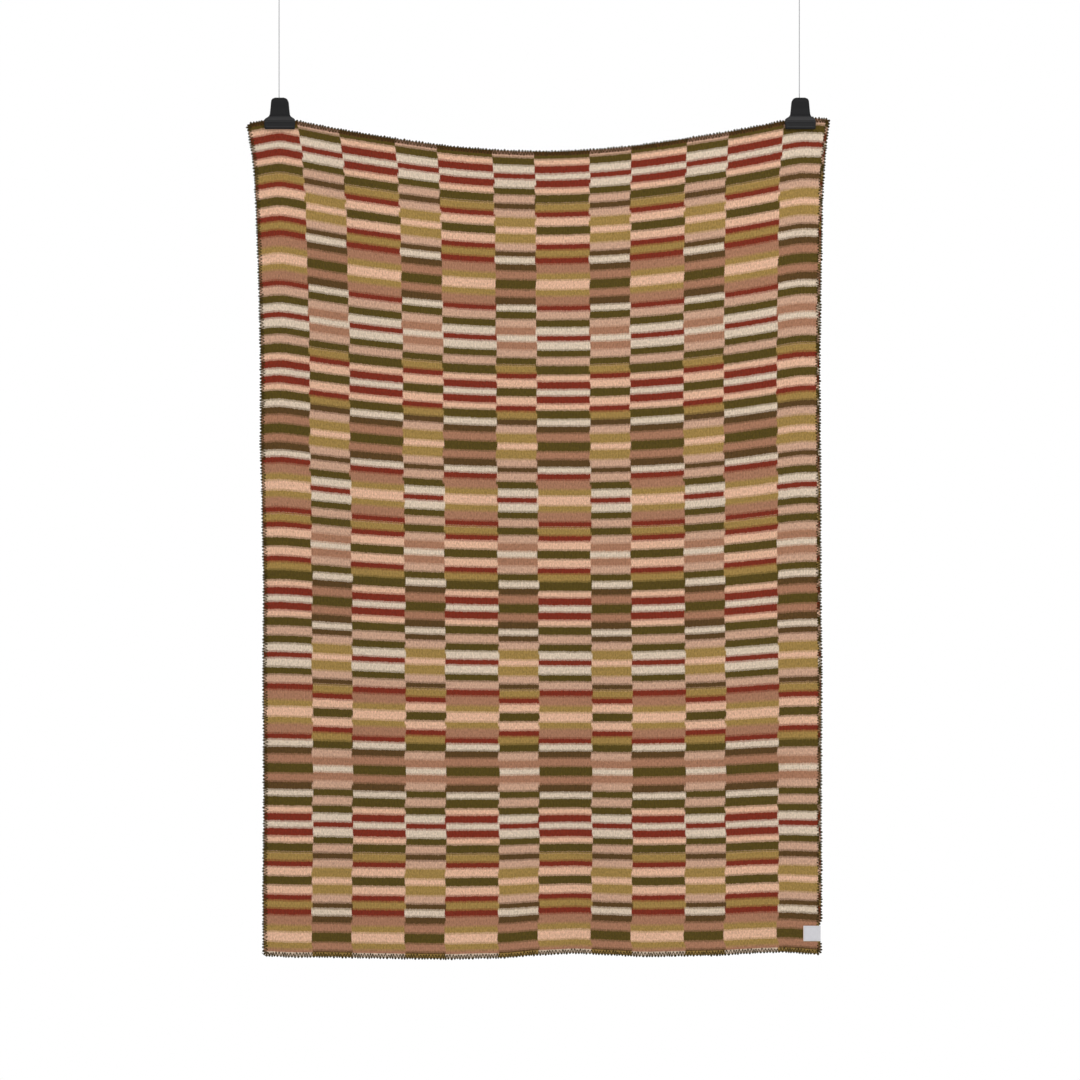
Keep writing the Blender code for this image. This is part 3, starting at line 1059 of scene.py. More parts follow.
@dataclass(frozen=True)
class ClothForm:
    """The form in which the cloth hangs, as its solid has it, with its finer creases.

    Attributes:
        left: The left side edge.
        right: The right side edge.
        folds: The long folds.
        creases: The short ones.
        hem_places: Places across where the hem's height is given.
        hem_lifts: How far the hem is lifted there.
        top: Height of the top edge under a clip.
        height: Height from there to the hem.
        thick: The cloth's thickness.
        corner_radius: The corners' radius.
        half_span: Half the distance between the clips.
        shift: How far the clips' middle is to the right.
        top_sag: How far the top edge sags between them.
        clip_foot: Height of the clips' lower ends.
        label_width: Reach of the label from the side edge.
        label_height: The label's height.
        label_rise: Height of its lower edge over the hem.
        label_pinch: How far the label draws the side edge in.
        pinch_reach: Half the height over which it does so.
        jaw_calm: How far round each clip there is no fold.
        label_calm: How far round the label's edge there is none.
        calm_fade: The distance over which the folds then rise.
    """

    left: SideEdge = SideEdge(
        -1.0, 0.6618, 0.041, 0.26, 1.40, 0.017,
        (-0.0015, -0.0040, -0.0048, -0.0024, 0.0002, 0.0010, 0.0014, 0.0033,
         0.0010, -0.0023, -0.0008, -0.0019, -0.0022, -0.0005, -0.0009),
    )
    right: SideEdge = SideEdge(
        1.0, 0.6742, 0.021, 0.13, 1.15, 0.005,
        (0.0010, 0.0008, 0.0004, -0.0003, 0.0003, -0.0010, -0.0025, -0.0014,
         0.0, 0.0, 0.0023, 0.0015, 0.0012, 0.0020, 0.0010),
    )
    folds: tuple[Fold, ...] = (
        Fold(0.10, 0.13, 0.045, -0.002, 0.008),
        Fold(0.22, 0.27, 0.070, -0.006, -0.009),
        Fold(0.36, 0.41, 0.050, 0.004, 0.006),
        Fold(0.49, 0.55, 0.075, -0.006, 0.013),
        Fold(0.63, 0.67, 0.055, 0.003, -0.008),
        Fold(0.78, 0.79, 0.065, -0.006, -0.005),
        Fold(0.91, 0.88, 0.045, -0.002, 0.008),
    )
    creases: tuple[Crease, ...] = (
        Crease((-0.560, -0.372), (-0.270, -0.455), 0.022, -0.0030),
        Crease((-0.590, -0.440), (-0.420, -0.640), 0.028, 0.0028),
        Crease((-0.628, -0.450), (-0.640, -0.760), 0.020, -0.0022),
        Crease((0.565, -0.372), (0.300, -0.450), 0.022, -0.0028),
        Crease((0.600, -0.440), (0.455, -0.650), 0.028, 0.0026),
        Crease((0.636, -0.450), (0.645, -0.700), 0.020, -0.0020),
        Crease((-0.100, -0.520), (0.130, -0.560), 0.040, 0.0020),
        Crease((-0.600, -1.900), (-0.560, -2.300), 0.024, -0.0020),
        Crease((0.560, -1.820), (0.600, -2.240), 0.026, 0.0020),
    )
    hem_places: tuple[float, ...] = (
        0.0, 0.06, 0.16, 0.25, 0.34, 0.42, 0.50, 0.56, 0.62, 0.69, 0.79, 0.935, 1.0,
    )
    hem_lifts: tuple[float, ...] = (
        0.0060, 0.0030, 0.0010, 0.0010, -0.0010, 0.0, 0.0075,
        0.0105, 0.0080, 0.0055, 0.0075, 0.0148, 0.0095,
    )
    top: float = -0.334
    height: float = 2.013
    thick: float = 0.003
    corner_radius: float = 0.0105
    half_span: float = 0.623
    shift: float = 0.002
    top_sag: float = 0.0855
    clip_foot: float = -0.364
    label_width: float = 0.0392
    label_height: float = 0.037
    label_rise: float = 0.038
    label_pinch: float = 0.0040
    pinch_reach: float = 0.0235
    jaw_calm: float = 0.085
    label_calm: float = 0.070
    calm_fade: float = 0.22

    def label_middle(self) -> float:
        """Return the height of the label's middle."""
        return self.top - self.height + self.label_rise + self.label_height / 2.0

    def rounded(self, across: np.ndarray, down: np.ndarray) -> tuple[np.ndarray, np.ndarray]:
        """Draw the four corners in to a round: each corner's square is mapped on a disc.

        Args:
            across: Shares across, from 0 to 1.
            down: Shares down.

        Returns:
            The shares across and down, moved.
        """
        width = self.left.half_width + self.right.half_width
        from_side = np.minimum(across, 1.0 - across) * width
        from_end = np.minimum(down, 1.0 - down) * self.height
        out_x = np.clip(1.0 - from_side / self.corner_radius, 0.0, 1.0)
        out_z = np.clip(1.0 - from_end / self.corner_radius, 0.0, 1.0)
        move_x = self.corner_radius * out_x * (1.0 - np.sqrt(1.0 - out_z**2 / 2.0)) / width
        move_z = self.corner_radius * out_z * (1.0 - np.sqrt(1.0 - out_x**2 / 2.0)) / self.height
        across = across + np.where(across < 0.5, move_x, -move_x)
        return across, down + np.where(down < 0.5, move_z, -move_z)

    def drop(self, x: np.ndarray, down: np.ndarray) -> np.ndarray:
        """Return how far the cloth hangs below its clips: most midway, and fading downwards.

        Args:
            x: Places along X.
            down: Shares down.

        Returns:
            The drop there.
        """
        on_left = x < self.shift
        share = np.abs(x - self.shift) / self.half_span
        lean = ease(0.5 + (x - self.shift) / 1.1)
        power = lerp(self.left.sag_power, self.right.sag_power, lean)
        fade = (1.0 - down) ** power
        bend = 1.7 + 0.7 * np.clip(down / 0.4, 0.0, 1.0)
        between = self.top_sag * fade * (1.0 - share**bend)
        droop = np.where(on_left, self.left.corner_droop, self.right.corner_droop)
        edges = [side.place(0.0, self.height) for side in (self.left, self.right)]
        overhang = np.where(on_left, edges[0], edges[1]) / self.half_span - 1.0
        outside = droop * fade * (share - 1.0) / overhang
        return (between + outside + np.sqrt((between - outside) ** 2 + 0.006**2)) / 2.0

    def calm(self, x: np.ndarray, z: np.ndarray) -> np.ndarray:
        """Return 0 in the clips' jaws and under the label, rising to 1 away from them.

        Args:
            x: Places along X.
            z: Places along Z.

        Returns:
            The share of each fold that is left.
        """
        free = np.ones_like(x)
        for side in (self.left, self.right):
            clip = side.sign * self.half_span + self.shift
            from_clip = np.hypot(x - clip, z - self.top)
            free = free * ease((from_clip - self.jaw_calm) / self.calm_fade)
        from_label = np.hypot(x - self.right.half_width, z - self.label_middle())
        return free * ease((from_label - self.label_calm) / self.calm_fade)

    def depth(self, x: np.ndarray, z: np.ndarray, across: Any, down: Any) -> np.ndarray:
        """Return the cloth's depth: a belly at the top, each fold's bell, creases and a ripple.

        Args:
            x: Places along X.
            z: Places along Z.
            across: Shares across.
            down: Shares down.

        Returns:
            The depth away from the viewer.
        """
        belly = 1.0 - np.clip(np.abs(x) / self.half_span, 0.0, 1.0) ** 2
        deep = -0.010 * belly * np.exp(-self.height * down / 0.45)
        for fold in self.folds:
            off = (across - lerp(fold.top, fold.hem, down)) / fold.half_width
            deep = deep + lerp(fold.top_depth, fold.hem_depth, down) * np.exp(-(off**2))
        for crease in self.creases:
            deep = deep + crease.at(x, z)
        ripple = np.sin(x * 21.0 + 1.3) * np.sin(z * 17.0 + 0.4)
        ripple = ripple + 0.6 * np.sin(x * 47.0 + z * 13.0) + 0.5 * np.sin(z * 39.0 - x * 11.0)
        return (deep + 0.0006 * ripple) * self.calm(x, z)

    def surface(self, across: np.ndarray, down: np.ndarray) -> np.ndarray:
        """Return the cloth's middle surface.

        Args:
            across: Shares across, from the left edge at 0 to the right edge at 1.
            down: Shares down, from the top edge at 0 to the hem at 1.

        Returns:
            The points.
        """
        across, down = self.rounded(across, down)
        low = -self.left.place(down, self.height)
        off_label = (self.top - self.height * down - self.label_middle()) / self.pinch_reach
        pinch = self.label_pinch * np.exp(-(off_label**6))
        x = lerp(low, self.right.place(down, self.height) - pinch, across)
        lift = eased_table(across, np.array(self.hem_places), np.array(self.hem_lifts))
        z = self.top - self.height * down - self.drop(x, down) + lift * down**6
        return np.stack([x, self.depth(x, z, across, down), z], axis=-1)


def toward_ends(share: np.ndarray, density: float) -> np.ndarray:
    """Crowd even shares towards 0 and 1: share - density * sin(2 pi share) / (2 pi)."""
    return share - density * np.sin(2.0 * np.pi * share) / (2.0 * np.pi)


@dataclass
class Outline:
    """The cloth's outline as a closed loop, with its directions.

    Attributes:
        points: The outline.
        outward: Away from the cloth, in its surface.
        facing: Square to the cloth, towards the viewer.
        along: Distance along it.
    """

    points: np.ndarray
    outward: np.ndarray
    facing: np.ndarray
    along: np.ndarray

    @classmethod
    def of(cls, form: ClothForm, steps: int = 2400) -> "Outline":
        """Trace the outline clockwise from the top left corner.

        Args:
            form: The cloth's form.
            steps: How many points each side has.

        Returns:
            The outline.
        """
        share = toward_ends(np.arange(steps) / steps, 0.8)
        zero, one = np.zeros(steps), np.ones(steps)
        across = np.concatenate([share, one, 1.0 - share, zero])
        down = np.concatenate([zero, share, one, 1.0 - share])
        points = form.surface(across, down)
        inner = form.surface(lerp(0.5, across, 0.99), lerp(0.5, down, 0.99))
        tangent = unit(np.roll(points, -1, axis=0) - np.roll(points, 1, axis=0))
        facing = unit(np.cross(tangent, points - inner))
        facing = np.where(facing[:, 1:2] > 0.0, -facing, facing)
        outward = unit(np.cross(facing, tangent))
        side = np.sum(outward * (points - inner), axis=1, keepdims=True)
        outward = np.where(side < 0.0, -outward, outward)
        gaps = np.linalg.norm(np.roll(points, -1, axis=0) - points, axis=1)
        return cls(points, outward, facing, np.concatenate([[0.0], np.cumsum(gaps)]))

    def length(self) -> float:
        """Return the distance all round."""
        return float(self.along[-1])

    def at(self, distance: np.ndarray) -> tuple[np.ndarray, np.ndarray, np.ndarray]:
        """Read the outline at distances along it, as straight lines between its points.

        Args:
            distance: The distances, which may run past its length.

        Returns:
            The points, outward directions and facing directions there.
        """
        where = np.mod(distance, self.length())
        read = []
        for held in (self.points, self.outward, self.facing):
            closed = np.concatenate([held, held[:1]])
            parts = [np.interp(where, self.along, closed[:, axis]) for axis in range(3)]
            read.append(np.stack(parts, axis=1))
        return read[0], unit(read[1]), unit(read[2])


@dataclass
class Blanket:
    """The woven cloth, one closed sheet with a rounded rim.

    Attributes:
        form: The form in which it hangs.
        columns: How many cells it has across.
        rows: How many it has down.
        rim_steps: How many cells go round its rim.
        inset: How far its rim lies inside the stitched edge, as a share.
        flat: The cut cloth's width and length.
    """

    form: ClothForm
    columns: int = 156
    rows: int = 226
    rim_steps: int = 6
    inset: float = 0.0010
    flat: tuple[float, float] = (1.35, 2.0)

    def shell(self) -> tuple[Shell, np.ndarray]:
        """Work out the sheet.

        Each face is the middle surface moved by half the thickness along its normal, and the rim
        is half a round between their borders.

        Returns:
            The closed surface, and each point's place on the flat cloth with its face, 1 in
            front and -1 behind.
        """
        across = toward_ends(np.linspace(0.0, 1.0, self.columns + 1), 0.62)
        down = toward_ends(np.linspace(0.0, 1.0, self.rows + 1), 0.62)
        down, across = np.meshgrid(down, across, indexing="ij")
        middle = self.form.surface(
            lerp(self.inset, 1.0 - self.inset, across),
            lerp(self.inset * 0.6, 1.0 - self.inset * 0.6, down),
        )
        beside = np.gradient(middle, axis=1)
        below = np.gradient(middle, axis=0)
        facing = unit(np.cross(below, beside))
        facing = np.where(facing[..., 1:2] > 0.0, -facing, facing)
        round_in = self.form.thick / 2.0

        rows, columns = across.shape
        border = border_of(np.arange(rows * columns).reshape(rows, columns))
        flat_middle = middle.reshape(-1, 3)
        flat_facing = facing.reshape(-1, 3)
        edge = flat_middle[border]
        tangent = unit(np.roll(edge, -1, axis=0) - np.roll(edge, 1, axis=0))
        outward = unit(np.cross(flat_facing[border], tangent))
        centre = np.array([0.0, 0.0, self.form.top - self.form.height / 2.0])
        side = np.sum(outward * (edge - centre), axis=1, keepdims=True)
        outward = np.where(side < 0.0, -outward, outward)
        flat_middle = flat_middle.copy()
        flat_middle[border] = edge - outward * round_in

        front = flat_middle + flat_facing * self.form.thick / 2.0
        back = flat_middle - flat_facing * self.form.thick / 2.0
        turns = np.linspace(0.0, np.pi, self.rim_steps + 1)[1:-1, None, None]
        rim = flat_middle[border] + round_in * (
            np.sin(turns) * outward + np.cos(turns) * flat_facing[border]
        )
        rim = rim.reshape(-1, 3)
        count = len(front)
        size = len(border)
        rings = np.concatenate(
            [
                border[None, :],
                2 * count + np.arange(len(rim)).reshape(-1, size),
                count + border[None, :],
            ]
        )
        cells = grid_faces(rows, columns, False, False)
        round_cells = rings.ravel()[grid_faces(len(rings), size, False, True)]
        faces = np.concatenate([cells[:, ::-1], cells + count, round_cells])
        places = np.stack(
            [across.ravel() * self.flat[0], down.ravel() * self.flat[1], np.ones(count)], axis=1
        )
        turned = places * np.array([1.0, 1.0, -1.0])
        rim_places = np.tile(places[border], (self.rim_steps - 1, 1))
        rim_places[:, 2] = np.repeat(np.cos(turns.ravel()), size)
        shell = Shell(np.concatenate([front, back, rim]), faces)
        return shell, np.concatenate([places, turned, rim_places])

    def make(self) -> bpy.types.Object:
        """Make the sheet and dress it in wool.

        Returns:
            The sheet.
        """
        shell, places = self.shell()
        piece = Piece("blanket_cloth", "wool", ("blanket",))
        return piece.build(shell.outward(), WoolFinish().make(), {"cloth": places})


@dataclass
class EdgeStitching:
    """The overcast edge: legs of yarn in front and behind, and the knots along the rim.

    Attributes:
        form: The cloth's form.
        pitch: Distance between two stitches.
        reach: How far in from the rim the needle goes.
        yarn: The yarn's radius.
        samples: How many points a stitch has.
        sides: How many sides the yarn has.
        loop: X and Z of the middle of the slack loop on the lower left corner.
        loop_size: Half the loop's length and half its width.
        loop_tilt: The loop's direction, as its X and how far it falls.
    """

    form: ClothForm
    pitch: float = 0.0071
    reach: float = 0.0104
    yarn: float = 0.00084
    samples: int = 10
    sides: int = 7
    loop: tuple[float, float] = (-0.6548, -2.3385)
    loop_size: tuple[float, float] = (0.0092, 0.0046)
    loop_tilt: tuple[float, float] = (0.94, 0.34)

    def chance(self, number: np.ndarray, seed: float) -> np.ndarray:
        """Return a random number from -1 to 1 for each stitch: a part of a large sine."""
        return 2.0 * np.mod(np.sin(number * 12.9898 + seed) * 43758.5453, 1.0) - 1.0

    def numbers(self, outline: Outline) -> tuple[int, np.ndarray, np.ndarray, np.ndarray]:
        """Number the stitching's points in stitches.

        Args:
            outline: The cloth's outline.

        Returns:
            How many stitches there are, and each point's place, stitch and share of that stitch.
        """
        count = round(outline.length() / self.pitch)
        number = np.arange(count * self.samples) / self.samples
        stitch = np.floor(number)
        return count, number, stitch, number - stitch

    def wander(self, number: np.ndarray) -> np.ndarray:
        """Return how far a stitch strays along the edge, in stitches: three slow sines."""
        slow = 0.16 * np.sin(number * 0.43 + 0.4) + 0.12 * np.sin(number * 1.07)
        return slow + 0.08 * np.sin(number * 1.73 + 2.0)

    def tube(
        self, path: np.ndarray, facing: np.ndarray, radius: np.ndarray, closed: bool = True
    ) -> tuple[Shell, np.ndarray]:
        """Carry a round along a path.

        Args:
            path: The path's points.
            facing: A direction at each point that is not along the path.
            radius: The yarn's radius at each point.
            closed: Whether the path's end joins its start.

        Returns:
            The tube, and at each point the distance along and the cosine and sine of the angle.
        """
        if closed:
            tangent = unit(np.roll(path, -1, axis=0) - np.roll(path, 1, axis=0))
        else:
            tangent = unit(np.gradient(path, axis=0))
        across = unit(np.cross(tangent, facing))
        up = unit(np.cross(across, tangent))
        angle = np.arange(self.sides) * 2.0 * np.pi / self.sides
        cosine, sine = np.cos(angle)[None, :, None], np.sin(angle)[None, :, None]
        ring = across[:, None, :] * cosine + up[:, None, :] * sine
        points = path[:, None, :] + ring * radius[:, None, None]
        steps = np.linalg.norm(np.diff(path, axis=0), axis=1)
        along = np.concatenate([[0.0], np.cumsum(steps)])
        shape = points.shape[:2]
        yarn = np.stack(
            [
                np.broadcast_to(along[:, None], shape),
                np.broadcast_to(cosine[..., 0], shape),
                np.broadcast_to(sine[..., 0], shape),
            ],
            axis=-1,
        )
        faces = grid_faces(shape[0], shape[1], closed, True)
        caps = [] if closed else end_caps(*shape)
        return Shell(points.reshape(-1, 3), faces, caps), yarn.reshape(-1, 3)

    def under_label(self, points: np.ndarray) -> np.ndarray:
        """Return 1 where a point of the outline lies under the label, else 0, with soft ends."""
        off = np.abs(points[:, 2] - self.form.label_middle()) - self.form.label_height / 2.0
        return np.where(points[:, 0] > 0.0, 1.0 - ease(off / 0.004 + 0.1), 0.0)

    def legs(self, outline: Outline, way: Way) -> tuple[Shell, np.ndarray]:
        """Work out the zigzag of one face.

        The way in from the rim is a rounded triangle wave along the edge, as long as the needle
        reaches at its tips, where the yarn dives into the cloth.

        Args:
            outline: The cloth's outline.
            way: The face.

        Returns:
            The tube and what its points carry.
        """
        count, number, stitch, share = self.numbers(outline)
        seed = 3.0 + way.value
        lean = 0.5 + 0.10 * self.chance(stitch, seed)
        wave = np.where(share < lean, share / lean, (1.0 - share) / (1.0 - lean))
        wave = 0.7 * wave + 0.3 * ease(wave)
        deep = self.reach * (1.0 + 0.17 * self.chance(stitch, seed + 5.0))
        distance = (number + self.wander(number)) / count * outline.length()
        points, outward, facing = outline.at(distance)
        under = self.under_label(points)
        inward = lerp(0.0002, deep, wave)
        above = self.form.thick / 2.0 + self.yarn * 0.55 - 0.0011 * ease((wave - 0.84) / 0.16)
        above = above - 0.0009 * ease(1.0 - wave * 5.0)
        above = lerp(above, self.form.thick / 2.0 - 0.0005, under)
        radius = self.yarn * (1.0 + 0.10 * self.chance(stitch, seed + 9.0)) * (1.0 - 0.5 * under)
        path = points - outward * inward[:, None] + facing * (above * way.value)[:, None]
        return self.tube(path, facing, radius)

    def knots(self, outline: Outline) -> tuple[Shell, np.ndarray]:
        """Work out the row of small knots that covers the rim.

        The yarn runs along the rim, swells at each stitch, and sways from the front to the back.

        Args:
            outline: The cloth's outline.

        Returns:
            The tube and what its points carry.
        """
        count, number, stitch, share = self.numbers(outline)
        distance = (number + 0.5 + self.wander(number + 0.5)) / count * outline.length()
        points, outward, facing = outline.at(distance)
        under = self.under_label(points)
        bulge = np.sin(np.pi * share) ** 2
        out = -0.0022 + 0.0032 * bulge * (1.0 + 0.3 * self.chance(stitch, 21.0)) * (1.0 - under)
        sway = 0.0010 * np.sin(2.0 * np.pi * share)
        radius = self.yarn * (0.70 + 1.10 * bulge**1.3) * (1.0 + 0.16 * self.chance(stitch, 17.0))
        radius = radius * (1.0 - 0.35 * under)
        path = points + outward * out[:, None] + facing * sway[:, None]
        return self.tube(path, facing, radius)

    def corner_loop(self, outline: Outline) -> tuple[Shell, np.ndarray]:
        """Work out the slack loop of yarn on the lower left corner, a tilted oval.

        Args:
            outline: The cloth's outline.

        Returns:
            The tube and what its points carry.
        """
        corner = np.array([-0.66, 0.0, -2.345])
        near = np.argmin(np.sum((outline.points - corner) ** 2, axis=1))
        front = outline.points[near, 1] - self.form.thick / 2.0 - self.yarn * 0.7
        angle = np.linspace(-0.92, 0.94, 44) * np.pi
        long = self.loop_size[0] * np.cos(angle)
        short = self.loop_size[1] * np.sin(angle) * (1.0 + 0.2 * np.cos(angle))
        run, fall = self.loop_tilt
        x = self.loop[0] + long * run + short * fall
        z = self.loop[1] - long * fall + short * run
        y = front + 0.0005 * np.sin(angle * 1.3)
        path = np.stack([x, y, z], axis=1)
        facing = np.broadcast_to(np.array([0.0, -1.0, 0.0]), path.shape)
        return self.tube(path, facing, np.full(len(path), self.yarn * 0.85), closed=False)

    def make(self) -> list[bpy.types.Object]:
        """Make the stitching's pieces.

        Returns:
            The pieces.
        """
        outline = Outline.of(self.form)
        finish = YarnFinish().make()
        parts = {
            "edge_legs_front": self.legs(outline, Way.FRONT),
            "edge_legs_back": self.legs(outline, Way.BACK),
            "edge_knots": self.knots(outline),
            "edge_corner_loop": self.corner_loop(outline),
        }
        return [
            Piece(name, "wool").build(shell.outward(), finish, {"yarn": yarn})
            for name, (shell, yarn) in parts.items()
        ]


@dataclass
class Label:
    """The woven label, folded round the right side edge.

    Attributes:
        form: The cloth's form.
        thick: The tape's thickness.
        clear: Its middle's distance from the cloth's middle.
        steps: How many points it has along each face and up.
        bend_steps: How many go round the fold, both ends counted.
    """

    form: ClothForm
    thick: float = 0.0006
    clear: float = 0.0021
    steps: int = 30
    bend_steps: int = 16

    def shell(self) -> tuple[Shell, np.ndarray]:
        """Work out the tape.

        Its line runs in from the cut end in front, half round the edge and back behind, lifted
        a little at its cut ends, and each face is that line moved by half the thickness.

        Returns:
            The closed surface, and each point's distance from the cut end and height.
        """
        middle = self.form.label_middle()
        down = (self.form.top - middle) / self.form.height
        edge = float(self.form.right.place(down, self.form.height)) - self.form.label_pinch
        reach = self.form.label_width
        run = np.linspace(0.0, 1.0, self.steps)
        angle = np.linspace(-np.pi / 2.0, np.pi / 2.0, self.bend_steps)[1:-1]
        x = np.concatenate([-reach * (1.0 - run), self.clear * np.cos(angle), -reach * run])
        level = np.full(self.steps, self.clear)
        y = np.concatenate([-level, self.clear * np.sin(angle), level])
        line = np.stack([x + edge, y], axis=1)
        tangent = unit(np.gradient(line, axis=0))
        out = np.stack([tangent[:, 1], -tangent[:, 0]], axis=1)
        far = np.concatenate([[0.0], np.cumsum(np.linalg.norm(np.diff(line, axis=0), axis=1))])
        from_end = np.minimum(far, far[-1] - far)
        up = np.linspace(-1.0, 1.0, self.steps)
        fold = np.clip((np.abs(up) - 0.90) / 0.10, 0.0, 1.0)
        height = up * self.form.label_height / 2.0

        lift = 0.00025 * np.sin(from_end[:, None] * 150.0 + 0.7) * np.cos(up[None, :] * 2.0)
        lift = lift * ease(from_end / 0.03)[:, None] * 0.6
        half = self.thick / 2.0 * (1.0 + 0.35 * np.sqrt(fold))[None, :]
        half = half * (0.55 + 0.45 * np.sqrt(np.clip(from_end / 0.0012, 0.0, 1.0)))[:, None]
        rings = []
        for sign in (1.0, -1.0):
            shift = (sign * half + np.maximum(lift, 0.0))[..., None]
            flat = line[:, None, :] + out[:, None, :] * shift
            tall = np.broadcast_to(height[None, :], flat.shape[:2]) + middle
            rings.append(np.concatenate([flat, tall[..., None]], axis=-1))
        points = np.stack(rings)
        rows, columns = points.shape[1:3]
        loop = border_of(np.arange(rows * columns).reshape(rows, columns))
        under = loop + rows * columns
        cells = grid_faces(rows, columns, False, False)
        after = np.roll(loop, -1)
        walls = np.stack([after, loop, under, np.roll(under, -1)], axis=1)
        faces = np.concatenate([cells, cells[:, ::-1] + rows * columns, walls])
        place = np.stack(
            [
                np.broadcast_to(from_end[:, None], (rows, columns)),
                np.broadcast_to(height[None, :], (rows, columns)),
                np.zeros((rows, columns)),
            ],
            axis=-1,
        ).reshape(-1, 3)
        return Shell(points.reshape(-1, 3), faces), np.concatenate([place, place])

    def make(self) -> bpy.types.Object:
        """Make the label.

        Returns:
            The label.
        """
        shell, place = self.shell()
        finish = TapeFinish(self.form.label_height).make()
        piece = Piece("label_folded", "label_tape", ("label",))
        return piece.build(shell.outward(), finish, {"tape": place})


@dataclass
class SpringClip:
    """One spring clip: two moulded levers on a pin, with a spring between them.

    Attributes:
        side: left or right.
        middle: The clip's place along X.
        foot: Height of its lower end.
        heights: Heights over its foot where a lever's section is given.
        half_widths: The lever's half width there.
        inners: Its inner face's distance from the clip's middle plane.
        outers: Its outer face's distance.
        corner: Radius of its outer corners.
        inner_corner: Radius of its inner corners, as a share of that.
        levels: How many sections a lever has.
        pin: Height of the hinge pin over the foot.
        lug: Radius of the lugs round the pin.
        lug_half: Half a lug's thickness.
        lug_root: How far back from the pin a lug runs into its lever.
        lug_places: Distance of the front and the back lever's lugs from the clip's middle.
        grip: Heights between which its outer face has a raised rim.
        line: Height of the moulded line near its upper end.
        ledge: Height of the groove over its jaw.
        panel: Heights between which its jaw has a sunk panel.
        panel_inset: The panel's distance from the jaw's ends.
    """

    side: str
    middle: float
    foot: float
    heights: tuple[float, ...] = (
        -0.0010, 0.0010, 0.0165, 0.0178, 0.0230, 0.0256, 0.0278, 0.0305,
        0.0345, 0.0480, 0.0620, 0.0675, 0.0705, 0.0724, 0.0735,
    )
    half_widths: tuple[float, ...] = (
        0.0350, 0.0362, 0.0368, 0.0366, 0.0356, 0.0330, 0.0288, 0.0260,
        0.0238, 0.0222, 0.0207, 0.0197, 0.0176, 0.0145, 0.0098,
    )
    inners: tuple[float, ...] = (
        0.0030, 0.0018, 0.0018, 0.0018, 0.0018, 0.0018, 0.0018, 0.0018,
        0.0046, 0.0052, 0.0077, 0.0087, 0.0092, 0.0096, 0.0101,
    )
    outers: tuple[float, ...] = (
        0.0088, 0.0102, 0.0102, 0.0098, 0.0080, 0.0070, 0.0064, 0.0062,
        0.0072, 0.0083, 0.0107, 0.0116, 0.0120, 0.0121, 0.0120,
    )
    corner: float = 0.0015
    inner_corner: float = 0.22
    levels: int = 150
    pin: float = 0.040
    lug: float = 0.0036
    lug_half: float = 0.0015
    lug_root: float = 0.0062
    lug_places: tuple[float, float] = (0.0145, 0.0178)
    grip: tuple[float, float] = (0.0300, 0.0690)
    line: float = 0.0664
    ledge: float = 0.0172
    panel: tuple[float, float] = (0.0040, 0.0142)
    panel_inset: float = 0.0052

    def ring(self) -> np.ndarray:
        """Return a section's outline as four factors a point.

        A point's X is the first times the half width plus the second times the corner's radius,
        and its depth is the third times the thickness plus the fourth times that radius.

        Returns:
            One line a point: inner face, right side, outer face and left side.
        """
        turn = np.linspace(0.0, np.pi / 2.0, 7)
        face = np.linspace(1.0, -1.0, 31)[1:-1]
        one = np.ones_like(turn)
        low = self.inner_corner
        parts = [
            np.stack([one, low * (np.sin(turn) - 1), 0 * one, low * (1 - np.cos(turn))], axis=1),
            np.stack([one, np.cos(turn) - 1, one, np.sin(turn) - 1], axis=1),
            np.stack([face, -face, np.ones_like(face), 0 * face], axis=1),
            np.stack([-one, 1 - np.sin(turn), one, np.cos(turn) - 1], axis=1),
            np.stack([-one, low * (1 - np.cos(turn)), 0 * one, low * (1 - np.sin(turn))], axis=1),
        ]
        return np.concatenate(parts)

    def relief(self, x: np.ndarray, half: np.ndarray, height: np.ndarray) -> np.ndarray:
        """Return how far the outer face stands out: a rim, a line, a groove and a panel.

        The rim, the line and the groove are bells, and the panel has eased walls.

        Args:
            x: Places across.
            half: The half width at each height.
            height: The heights.

        Returns:
            The relief.
        """
        low, high = self.grip
        grip = ease((height - low) / 0.0030) * ease((high - height) / 0.0020)
        rim = 0.00045 * np.exp(-(((np.abs(x) - half + 0.0027) / 0.0008) ** 2)) * grip
        line = -0.00035 * np.exp(-(((height - self.line) / 0.00045) ** 2))
        line = line * ease((half - np.abs(x) - 0.0034) / 0.0010)
        low, high = self.panel
        panel = ease((half - self.panel_inset - np.abs(x)) / 0.0007)
        panel = panel * ease((height - low) / 0.0006) * ease((high - height) / 0.0006)
        ledge = -0.0013 * np.exp(-(((height - self.ledge) / 0.0009) ** 2))
        return rim + line + ledge - 0.0006 * panel

    def lever_shell(self) -> Shell:
        """Work out a front lever: its sections softened along its height, with closed ends.

        Returns:
            The lever, with its foot at height 0.
        """
        height = np.linspace(self.heights[0], self.heights[-1], self.levels)
        soft = np.hanning(7)[1:-1]
        soft = soft / soft.sum()
        tables = []
        for values in (self.half_widths, self.inners, self.outers):
            read = np.interp(height, self.heights, values)
            padded = np.pad(read, 2, mode="edge")
            tables.append(np.convolve(padded, soft, mode="valid"))
        half, inner, outer = (table[:, None] for table in tables)
        radius = np.minimum(self.corner, (outer - inner) * 0.40)
        ring = self.ring()[None, :, :]
        x = ring[..., 0] * half + ring[..., 1] * radius
        depth = inner + ring[..., 2] * (outer - inner) + ring[..., 3] * radius
        on_face = ring[..., 2] * (ring[..., 3] > -0.25)
        level = height[:, None]
        depth = depth + on_face * self.relief(x, half, level)
        points = np.stack([x, -depth, np.broadcast_to(level, x.shape)], axis=-1)
        rows, columns = x.shape
        faces = grid_faces(rows, columns, False, True)
        return Shell(points.reshape(-1, 3), faces, end_caps(rows, columns))

